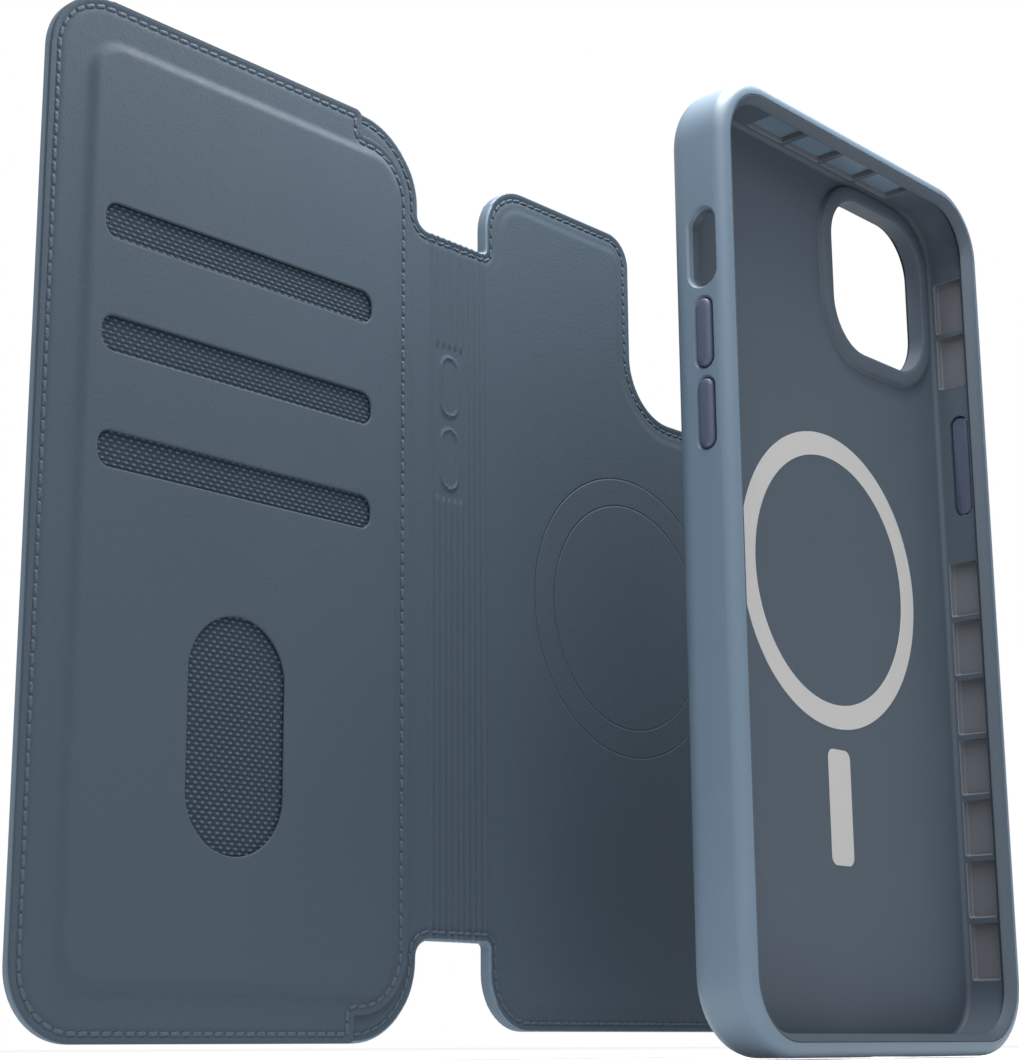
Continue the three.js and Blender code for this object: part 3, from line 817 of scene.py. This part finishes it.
def weaveHeight(x, z, p):
    turn = 2 * np.pi
    run = np.clip(np.cos(turn * x / p["float"]) * p["sharp"], -1, 1)
    crown = run * np.cos(turn * z / p["pair"]) ** 3
    return p["rise"] * np.maximum(crown, 0) + p["under"] * np.maximum(-crown, 0)


def makeFabric():
    windows = windowOutlines(slots, 2.4 * mm)
    base = faceY - 0.02 * mm
    for index, outline in enumerate(windows):
        name = f"pocket_weave_{index + 1}" if index < slots["count"] else "thumb_window_weave"
        piece = softSheet(name, outline, [], (0.25 * mm, 0.15 * mm),
                          lambda x, z, depth: base - weaveHeight(x, z, weaveValues),
                          lambda x, z, depth: np.full_like(x, base + 0.25 * mm), 0.08 * mm, [weave])
        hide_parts("pocket_fabric")
        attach(piece, "front_cover")


def ridgeField(x, z, p):
    # crests along the spine, flat round two raised pills where the side buttons come
    centre = (foldX["cover_fold"] + foldX["back_fold"]) / 2 + p["ridgeShift"]
    step = (x - centre) / p["ridgePitch"] + 0.5
    crest = (0.5 + 0.5 * np.cos(2 * np.pi * step)) ** 2
    half = p["ridgeCount"] * p["ridgePitch"] / 2
    span = (np.abs(x - centre) < half) * 1.0
    pillX = centre - p["patchShift"]
    middle = ringZ + p["patchLift"]
    wide = p["patchWidth"] / 2
    tall = p["patchHeight"] / 2
    patch = filleted(rectCorners(pillX - wide, middle - tall, pillX + wide, middle + tall, 1.2 * mm), 6)
    inPatch = smooth(-0.35 * mm, 0.35 * mm, insideDistance(np.stack((x, z), 1), patch)[0])
    rise = crest * span * (1 - inPatch) * p["ridgeRise"]
    reach = (p["pillLength"] - p["pillWidth"]) / 2
    for side in (-1, 1):
        pillZ = middle + side * (p["pillLength"] + p["pillGap"]) / 2
        run = np.maximum(np.abs(z - pillZ) - reach, 0)
        gap = np.hypot(x - pillX, run) - p["pillWidth"] / 2 + p["pillRise"]
        rim = np.exp(-(gap / p["pillLine"]) ** 2)
        rise = rise + p["pillRise"] * rim + 0.06 * mm * smooth(0, 1.2 * mm, -gap)
    return rise


def liningFace(x, z, depth):
    # the inside face from the cover's edge over the spine to the docking panel, one run of leather
    p = folio
    pastWrap = x - left - p["wrapReach"]
    drop = (smooth(-3.8 * mm, -1.6 * mm, pastWrap) * p["wrapStep"]
            + smooth(-0.5 * mm, 3 * mm, pastWrap) * p["spineStep"])
    rise = smooth(3 * mm, 4.6 * mm, depth) * smooth(0.9 * mm, 5.4 * mm, x - backLeft) * p["dockRise"]
    seam = channel(depth, p["stitchInset"], p["grooveHalf"]) * smooth(-18 * mm, -15 * mm, pastWrap)
    return faceY + p["liningThick"] - drop - rise + seam * p["groove"] - ridgeField(x, z, p)


def coverUnder(x, z, depth):
    # steps down where the pocket panel lies on it
    covered = 1 - smooth(-5.1 * mm, -3.9 * mm, x - left - folio["panelStepAt"])
    return liningFace(x, z, depth) + smooth(2.2 * mm, 3.2 * mm, depth) * covered * 0.72 * mm


def backUnder(x, z, depth):
    # meets the lining at the rim and makes room behind it for the board
    return faceY + folio["liningThick"] + smooth(1.2 * mm, 1.5 * mm, depth) * 1.2 * mm


def skinBack(x, z, depth):
    p = folio
    thick = p["skinThick"] + smooth(-7.6 * mm, 2.4 * mm, x - backLeft) * p["skinSwell"]
    seam = channel(depth, p["stitchInset"], p["grooveHalf"]) * p["groove"]
    return faceY + thick - seam + ripple(x, z, 0.02 * mm)


bends = [foldX[name] for name in ("cover_fold", "spine_front_bend", "spine_back_bend", "back_fold")]
bendHalf = (bends[1] - bends[0]) / 2
cuts = [left, bends[0] - bendHalf] + [bend + bendHalf for bend in bends] + [backRight]
chain = [("front_cover",), ("front_cover", "spine_front"), ("spine_front", "spine_middle"),
         ("spine_middle", "spine_back"), ("spine_back", "back_panel"), ("back_panel",)]


def carry(piece, index):
    # rides the cover or the panel; a piece that spans the fold between two bodies is only fixed where it
    # lies, not bent
    bodies = chain[index]
    if len(bodies) == 1:
        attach(piece, bodies[0])
    else:
        bend = bends[index - 1]
        bend - bendHalf
        bend + bendHalf
        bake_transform(piece)


def makeSkins(p):
    outline = skinOutline(p)
    pieces = [("cover_outer_leather", ["front_cover_skin", "cover_hinge_flap"], coverUnder, 0.5),
              ("spine_leather_1", ["spine_lining_front", "spine_skin_front"], liningFace, 0.2),
              ("spine_leather_2", ["spine_lining_front", "spine_lining_middle", "spine_skin_middle"],
               liningFace, 0.2),
              ("spine_leather_3", ["spine_lining_middle", "spine_lining_back", "spine_skin_back"],
               liningFace, 0.2),
              ("spine_leather_4", ["spine_lining_back", "spine_skin_back"], liningFace, 0.2),
              ("back_outer_leather", ["back_cover_skin"], backUnder, 0.5)]
    for index, (name, nodes, face, cell) in enumerate(pieces):
        piece = softSheet(name, outline, [], (cell * mm, max(cell, 0.4) * mm), face, skinBack, p["edge"],
                          [skinLeather, paintedEdge], cuts[index:index + 2])
        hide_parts(*nodes)
        carry(piece, index)


def makeBackLining(p):
    piece = softSheet("back_lining_leather", skinOutline(p), [], (0.4 * mm, 0.4 * mm), liningFace,
                      lambda x, z, depth: np.full_like(x, faceY + 0.64 * mm),
                      p["edge"] * 0.5, [liningLeather, paintedEdge], cuts[-2:])
    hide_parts("back_lining")
    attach(piece, "back_panel")


stitch = {
    "pitch": 2.08 * mm,
    "length": 1.94 * mm,
    "width": 0.74 * mm,
    "thick": 0.44 * mm,
    "slant": 4.0,
    "sink": 0.18 * mm,
    "stand": 0.12 * mm,
    "sides": 10,
    "rings": 9,
    "outward": -1,
}


def single(function, outline):
    # height of a sheet's face at one point
    def found(x, z):
        depth = insideDistance(np.array([[x, z]]), outline)[0]
        return float(function(np.array([x]), np.array([z]), depth)[0])
    return found


def makeStitching(p):
    inset = folio["stitchInset"]
    panelStitches = stitches("panel_stitches", panelOutline(folio, inset),
                             lambda x, z: faceY + folio["groove"], thread, p)
    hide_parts("cover_stitching")
    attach(panelStitches, "front_cover")
    skin = skinOutline(folio)
    panel = panelOutline(folio)
    path = skinOutline(folio, inset)
    fine = dict(p, width=0.54 * mm, thick=0.4 * mm, slant=6.0)
    for side, face, values in (("inner", liningFace, fine), ("outer", skinBack, dict(fine, outward=1))):
        heightOf = single(face, skin)
        for index in range(len(chain)):
            low, high = cuts[index:index + 2]

            def keep(spot):
                covered = side == "inner" and insideDistance(spot[None], panel)[0][0] > -folio["stitchClear"]
                return low <= spot[0] < high and not covered

            piece = stitches(f"{side}_stitches_{index + 1}", path, heightOf, thread, values, keep)
            if side == "inner" and index == len(chain) - 1:
                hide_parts("back_stitching")
            carry(piece, index)


makePocketPanel(folio)
makeFabric()
makeSkins(folio)
makeBackLining(folio)
makeStitching(stitch)
print("folio made")


case = {
    "corner": 13 * mm,
    "backRound": 3.8 * mm,
    "frontRound": 2.4 * mm,
    "wall": 1.5 * mm,
    "back": 0.7 * mm,
    "gap": 0.1 * mm,
    "rimGap": 0.03 * mm,
    "bayX": 2.98 * mm,
    "bayZ": 2.48 * mm,
    "lip": 1.3 * mm,
    "lipThick": 1.6 * mm,
    "lipSlope": 1.45 * mm,
    "rimInset": 2.4 * mm,
    "turn": 16,
    "camera": 30.7 * mm,
    "cameraCorner": 9.5 * mm,
    "cameraRise": 1.1 * mm,
    "cameraLip": 1.8 * mm,
    "bezelShows": 0.5 * mm,
    "muteZ": 50.5 * mm,
    "muteLength": 14 * mm,
    "muteWidth": 5.6 * mm,
    "portWidth": 14.4 * mm,
    "portHeight": 6.2 * mm,
    "portFlare": 1.6,
    "recessDepth": 1.15 * mm,
    "recessFront": 3.0 * mm,
    "recessRear": 1.3 * mm,
    "recessPitch": 11.5 * mm,
    "recessRib": 1.25 * mm,
}
backY = shellHigh[1]
frontY = linerLow[1] - case["gap"]
floorY = caseRingLow[1]
sideY = (floorY + frontY) / 2
cameraX = (bezelLow[0] + bezelHigh[0]) / 2
cameraZ = (bezelLow[2] + bezelHigh[2]) / 2


def ringAt(insetX, insetZ, y, corner=None):
    radius = (case["corner"] if corner is None else corner) - max(insetX, insetZ)
    path = filleted(rectCorners(shellLow[0] + insetX, shellLow[2] + insetZ, shellHigh[0] - insetX,
                                shellHigh[2] - insetZ, max(radius, 0.5 * mm)), case["turn"])
    return atLevel(path, y)


def roundRings(insetFrom, insetTo, yFrom, yTo, steps, bulge):
    # a quarter round between two insets: bulge 1 leaves the first ring along Y, and 0 across
    rings = []
    for step in range(steps + 1):
        angle = step / steps * math.pi / 2
        shareInset = math.sin(angle) if bulge == 0 else 1 - math.cos(angle)
        shareY = 1 - math.cos(angle) if bulge == 0 else math.sin(angle)
        inset = insetFrom + (insetTo - insetFrom) * shareInset
        rings.append(ringAt(inset, inset, yFrom + (yTo - yFrom) * shareY))
    return rings


def prism(name, outline, axis, levels, material):
    # a plug along X, Y or Z through an outline, grown or drawn in at each (place, growth) level
    middle = (outline.max(0) + outline.min(0)) / 2
    half = (outline.max(0) - outline.min(0)) / 2
    rings = []
    for place, growth in levels:
        ring = middle + (outline - middle) * (1 + growth / half)
        fixed = np.full(len(ring), place)
        order = {"X": (fixed, ring[:, 0], ring[:, 1]), "Y": (ring[:, 0], fixed, ring[:, 1]),
                 "Z": (ring[:, 0], ring[:, 1], fixed)}[axis]
        rings.append(np.stack(order, 1))
    return lofted(name, rings, material)


def pill(middleA, middleB, width, length, segments=10):
    return filleted(rectCorners(middleA - width / 2, middleB - length / 2, middleA + width / 2,
                                middleB + length / 2, min(width, length) / 2 * 0.998), segments)


def flareLevels(outside, inside, soften):
    # wide beyond the outer face, narrowing round a soft edge, then straight to the inside
    sign = 1 if inside > outside else -1
    levels = [(outside - sign * 2 * mm, soften + 0.6 * mm)]
    for step in range(7):
        angle = step / 6 * math.pi / 2
        levels.append((outside + sign * soften * math.sin(angle), soften * (1 - math.sin(angle))))
    levels.append((inside, 0.0))
    return levels


buttons = {
    "volume_up": ("volume_up_button", 1),
    "volume_down": ("volume_down_button", 1),
    "power": ("power_button", -1),
}


def sideTools(depthInside, clearance, soften, material):
    # plugs for the buttons, the mute switch and the charging port
    tools = []

    def plug(name, outline, axis, outside, inwards, flare=1.0):
        levels = flareLevels(outside, outside + inwards * depthInside, soften * flare)
        tools.append(prism(name, outline, axis, levels, material))

    for node, inwards in buttons.values():
        low, high = lowHigh(node)
        outline = pill((low[1] + high[1]) / 2, (low[2] + high[2]) / 2, high[1] - low[1] + 2 * clearance,
                       high[2] - low[2] + 2 * clearance)
        plug("cutButton", outline, "X", shellLow[0] if inwards > 0 else shellHigh[0], inwards)
    outline = pill(sideY, caseZ + case["muteZ"], case["muteWidth"], case["muteLength"], 14)
    plug("cutMute", outline, "X", shellLow[0], 1)
    half = case["portWidth"] / 2
    tall = case["portHeight"] / 2
    outline = filleted(rectCorners(ringX - half, sideY - tall, ringX + half, sideY + tall, tall * 0.99))
    plug("cutPort", outline, "Z", shellLow[2], 1, case["portFlare"])
    return tools


def cameraOutline(grow):
    half = case["camera"] / 2 + grow
    return filleted(rectCorners(cameraX - half, cameraZ - half, cameraX + half, cameraZ + half,
                                case["cameraCorner"] + grow), 14)


def makeShell(p):
    rings = roundRings(p["backRound"], 0, backY, backY - p["backRound"], 10, 0)
    rings += roundRings(0, p["frontRound"], frontY + p["frontRound"], frontY, 10, 1)
    rings.append(ringAt(p["rimInset"] + 0.02 * mm, p["rimInset"] + 0.02 * mm, frontY + 0.08 * mm))
    rings.append(ringAt(p["rimInset"], p["rimInset"], frontY + p["lipThick"] / 2))
    rings.append(ringAt(p["wall"], p["wall"], frontY + p["lipThick"]))
    inner = backY - p["back"]
    rings.append(ringAt(p["wall"], p["wall"], inner - 2 * mm))
    rings.append(ringAt(p["backRound"], p["backRound"], inner))
    piece = lofted("satin_shell", rings, shellSatin, sharp=40)
    tools = sideTools(p["bayX"] + 4 * mm, 0.22 * mm, 0.35 * mm, shellSatin)
    through = [(backY - 3 * mm, 0), (backY + 3 * mm, 0)]
    tools.append(prism("cutCamera", cameraOutline(1.15 * mm), "Y", through, shellSatin))
    carve(piece, tools)
    softEdges(piece.data, 32)
    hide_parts("case_shell")
    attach(piece, "phone_case")


def wallRecess(side, low, high, p):
    # a drafted pocket in one inner wall, on the left, right, top or bottom
    y0 = frontY + p["recessFront"]
    y1 = floorY - p["recessRear"]
    across = side in ("left", "right")
    corners = rectCorners(y0, low, y1, high, 0.5 * mm)
    if not across:
        corners = rectCorners(low, y0, high, y1, 0.5 * mm)
    outline = filleted(corners, 5)
    wall = {"left": shellLow[0] + p["bayX"], "right": shellHigh[0] - p["bayX"],
            "top": shellHigh[2] - p["bayZ"], "bottom": shellLow[2] + p["bayZ"]}[side]
    sign = -1 if side in ("left", "bottom") else 1
    levels = [(wall - sign * 1.0 * mm, 0.25 * mm), (wall - sign * 0.05 * mm, 0.22 * mm),
              (wall + sign * 0.12 * mm, 0.05 * mm),
              (wall + sign * (p["recessDepth"] - 0.15 * mm), -0.1 * mm),
              (wall + sign * p["recessDepth"], -0.25 * mm)]
    return prism("cutRecess", outline, "X" if across else "Z", levels, recessGrey)


def recessTools(p):
    tools = []
    pitch = p["recessPitch"]
    rib = p["recessRib"] / 2
    start = caseZ - 12.75 * mm
    powerLow, powerHigh = lowHigh("power_button")
    downLow = lowHigh("volume_down_button")[0]
    reach = (shellHigh[2] - shellLow[2]) / 2 - p["corner"] + 2 * mm
    for index in range(-6, 8):
        low = start + index * pitch + rib
        high = low + pitch - 2 * rib
        if low < caseZ - reach or high > caseZ + reach:
            continue
        if high < powerLow[2] - 0.8 * mm or low > powerHigh[2] + 0.8 * mm:
            tools.append(wallRecess("right", low, high, p))
        if high < downLow[2] - 0.8 * mm:
            tools.append(wallRecess("left", low, high, p))
    span = (shellHigh[0] - shellLow[0]) / 2 - p["corner"]
    for index in range(-3, 3):
        low = caseX + index * pitch + rib
        high = low + pitch - 2 * rib
        if abs((low + high) / 2 - caseX) + pitch / 2 > span + 3 * mm:
            continue
        tools.append(wallRecess("top", low, high, p))
        if abs((low + high) / 2 - caseX) > p["portWidth"] / 2 + pitch / 2 + 1 * mm:
            tools.append(wallRecess("bottom", low, high, p))
    return tools


def makeLiner(p):
    gap = p["gap"]
    skin = p["wall"] + gap
    outerBack = backY - p["back"] - gap
    rings = [ringAt(p["backRound"], p["backRound"], outerBack),
             ringAt(skin, skin, outerBack - 2 * mm),
             ringAt(skin, skin, frontY + p["lipThick"] + gap),
             ringAt(p["rimInset"] + gap, p["rimInset"] + gap, frontY + p["lipThick"] / 2 + gap)]
    rim = p["rimInset"] + p["rimGap"]
    for step in range(5):
        angle = step / 4 * math.pi / 2
        inset = rim + 0.25 * mm * (1 - math.cos(angle))
        rings.append(ringAt(inset, inset, frontY + 0.28 * mm - 0.25 * mm * math.sin(angle)))
    lipX = p["bayX"] + p["lip"]
    lipZ = p["bayZ"] + p["lip"]
    crown = 6
    for step in range(1, crown + 1):
        share = step / crown
        crest = rim + 0.25 * mm
        rings.append(ringAt(crest + (lipX - crest) * share, crest + (lipZ - crest) * share,
                            frontY + p["rimGap"] + share ** 1.25 * p["lipSlope"]))
    rings.append(ringAt(lipX + 0.05 * mm, lipZ + 0.05 * mm, frontY + p["lipSlope"] + 0.25 * mm))
    rings.append(ringAt(lipX - 0.1 * mm, lipZ - 0.1 * mm, frontY + p["lipThick"] + 0.3 * mm))
    rings.append(ringAt(p["bayX"], p["bayZ"], frontY + p["lipThick"] + 1.2 * mm))
    rings.append(ringAt(p["bayX"], p["bayZ"], floorY - 0.9 * mm))
    for step in range(1, 5):
        angle = step / 4 * math.pi / 2
        spread = 0.9 * mm * (1 - math.cos(angle))
        fall = 0.9 * mm * (1 - math.sin(angle))
        rings.append(ringAt(p["bayX"] + spread, p["bayZ"] + spread, floorY - fall))
    piece = lofted("soft_liner", rings, linerSoft, sharp=40)
    tools = sideTools(p["bayX"] + 4 * mm, 0.4 * mm, 0.02 * mm, linerSoft)
    through = [(floorY - 3 * mm, 0), (backY + 2 * mm, 0)]
    tools.append(prism("cutCamera", cameraOutline(1.2 * mm), "Y", through, linerSoft))
    tools += recessTools(p)
    carve(piece, tools)
    softEdges(piece.data, 32)
    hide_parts("case_liner")
    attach(piece, "phone_case")


def makeCameraRim(p):
    # raised lip round the camera opening and the black liner inside it
    def ring(grow, y):
        return atLevel(cameraOutline(grow), y)

    top = floorY - p["cameraRise"]
    wide = p["cameraLip"] + 1.2 * mm
    rear = bezelHigh[1]
    near = 0.02 * mm
    rings = [ring(near, rear - p["bezelShows"]), ring(near, top + 0.4 * mm)]
    for step in range(7):
        angle = step / 6 * math.pi
        rings.append(ring(near + (wide - near) * (1 - math.cos(angle)) / 2,
                          top + 0.35 * mm - 0.35 * mm * math.sin(angle)))
    rings += [ring(wide + 0.15 * mm, floorY - 0.3 * mm), ring(wide + 0.5 * mm, floorY + 0.05 * mm),
              ring(wide + 0.3 * mm, floorY + 0.6 * mm), ring(1.1 * mm, floorY + 0.6 * mm),
              ring(1.1 * mm, rear - p["bezelShows"])]
    lip = lofted("camera_lip", rings, linerSoft, closed=True)
    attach(lip, "phone_case")
    start = rear - p["bezelShows"] + 0.03 * mm
    profile = [(0, start), (0, rear - 0.25 * mm), (0.12, rear - 0.05 * mm), (0.3, rear), (0.8, rear),
               (1.0, rear - 0.12 * mm), (1.05, rear - 0.35 * mm), (1.05, start)]
    rings = [ring(grow * mm, y) for grow, y in profile]
    bezel = lofted("camera_bezel_gloss", rings, bezelBlack, closed=True)
    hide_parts("camera_bezel")
    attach(bezel, "phone_case")


def makeFilm():
    outer = (caseRingHigh[0] - caseRingLow[0]) / 2
    inner = outer - 4.3 * mm

    def circle(radius, y, count=144):
        angles = np.arange(count) / count * 2 * math.pi
        turn = np.stack((np.cos(angles), np.sin(angles)), 1)
        return atLevel(turn * radius + (ringX, ringZ), y)

    front = floorY - 0.06 * mm
    soft = 0.04 * mm
    rings = [circle(inner, floorY + 0.2 * mm), circle(inner, front + soft), circle(inner + soft, front),
             circle(outer - soft, front), circle(outer, front + soft), circle(outer, floorY + 0.2 * mm)]
    ring = lofted("ring_film", rings, filmGrey, closed=True)
    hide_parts("case_ring_cover")
    barLow, barHigh = lowHigh("case_alignment_cover")
    outline = filleted(rectCorners(barLow[0] - 0.3 * mm, barLow[2] - 0.3 * mm, barHigh[0] + 0.3 * mm,
                                   barHigh[2] + 0.3 * mm, 1.6 * mm), 10)
    middle = (outline.max(0) + outline.min(0)) / 2
    half = (outline.max(0) - outline.min(0)) / 2
    rings = []
    for y, draw in ((floorY + 0.2 * mm, 0), (front + soft, 0), (front, soft)):
        rings.append(atLevel(middle + (outline - middle) * (1 - draw / half), y))
    bar = lofted("bar_film", rings, filmGrey)
    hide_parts("case_alignment_cover")
    for piece in (ring, bar):
        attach(piece, "phone_case")


def makeButtons():
    for body, (node, inwards) in buttons.items():
        low, high = lowHigh(node)
        outline = pill((low[1] + high[1]) / 2, (low[2] + high[2]) / 2, high[1] - low[1],
                       high[2] - low[2], 12)
        outer = low[0] if inwards > 0 else high[0]
        inner = high[0] if inwards > 0 else low[0]
        levels = [(inner, -0.1 * mm), (inner - inwards * 0.1 * mm, 0.0)]
        dome = 0.75 * mm
        for step in range(8):
            angle = step / 7 * math.pi / 2
            levels.append((outer + inwards * dome * (1 - math.sin(angle)),
                           -dome * (1 - math.cos(angle)) * 1.15))
        piece = prism(f"{body}_cap", outline, "X", levels, buttonBlue)
        softEdges(piece.data, 40)
        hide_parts(node)
        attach(piece, body)


makeShell(case)
makeLiner(case)
makeCameraRim(case)
makeFilm()
makeButtons()
print("case made")


for node, finish in (("cover_board", board), ("back_board", board), ("folio_magnet_ring", magnetMetal),
                     ("folio_ring_shield", magnetMetal), ("folio_alignment_magnet", magnetMetal),
                     ("case_magnet_ring", magnetMetal), ("case_ring_shield", magnetMetal),
                     ("case_alignment_magnet", magnetMetal)):
    mesh = frame["nodes"][node].data
    mesh.materials.clear()
    mesh.materials.append(finish)


studio = {
    "floor": 3.0,
    "floorGlow": 0.15,
    "drop": 0.3 * mm,
    "sky": 0.72,
    "skyLean": 0.3,
    "skyFront": 0.2,
    "keyPower": 1.5,
    "keySize": 0.3,
    "keyPlace": (-0.15, -0.22, 0.42),
    "gapPower": 1.6,
    "gapSize": 0.12,
    "gapPlace": (0.03, -0.03, 0.32),
}


def makeFloor(p):
    half = p["floor"] / 2
    f = Finish("paleFloor")
    where, _ = f.places()
    speck = f.noise(where, 40.0)
    f.set(Base_Color=f.blendTones(speck, (0.9, 0.9, 0.9, 1), (0.94, 0.94, 0.94, 1)),
          Roughness=0.9, Emission_Color=(1, 1, 1, 1), Emission_Strength=p["floorGlow"])
    floor = makeMesh("paleFloorSheet", [(-half, -half, -p["drop"]), (half, -half, -p["drop"]),
                                        (half, half, -p["drop"]), (-half, half, -p["drop"])],
                     [(0, 1, 2, 3)], [f.material])


def areaLight(name, place, target, size, power):
    data = bpy.data.lights.new(name, "AREA")
    data.size = size
    data.energy = power
    light = bpy.data.objects.new(name, data)
    light.location = place
    light.rotation_euler = (Vector(target) - Vector(place)).to_track_quat("-Z", "Y").to_euler()
    light.visible_camera = False
    bpy.context.scene.collection.objects.link(light)


def makeSky(p):
    # white behind the object, dimmer in front and dimmest to the right
    world = bpy.data.worlds.new("studioWorld")
    world.use_nodes = True
    tree = world.node_tree
    parts = tree.nodes.new("ShaderNodeSeparateXYZ")
    tree.links.new(tree.nodes.new("ShaderNodeTexCoord").outputs["Generated"], parts.inputs[0])
    x = Wire(tree, parts.outputs["X"])
    y = Wire(tree, parts.outputs["Y"])
    strength = (p["sky"] - x * p["skyLean"] + y * p["skyFront"]).maths("MAXIMUM", (y * 4.0).clamped())
    background = tree.nodes["Background"]
    background.inputs["Color"].default_value = (1, 1, 1, 1)
    tree.links.new(strength.socket, background.inputs["Strength"])
    bpy.context.scene.world = world


def makeLights(p):
    areaLight("keySoftbox", p["keyPlace"], (0, 0, ringZ), p["keySize"], p["keyPower"])
    areaLight("gapSoftbox", p["gapPlace"], (ringX, faceY, ringZ / 2), p["gapSize"], p["gapPower"])


makeFloor(studio)
makeSky(studio)
makeLights(studio)
bpy.context.scene.view_settings.view_transform = "Standard"
print("studio made")
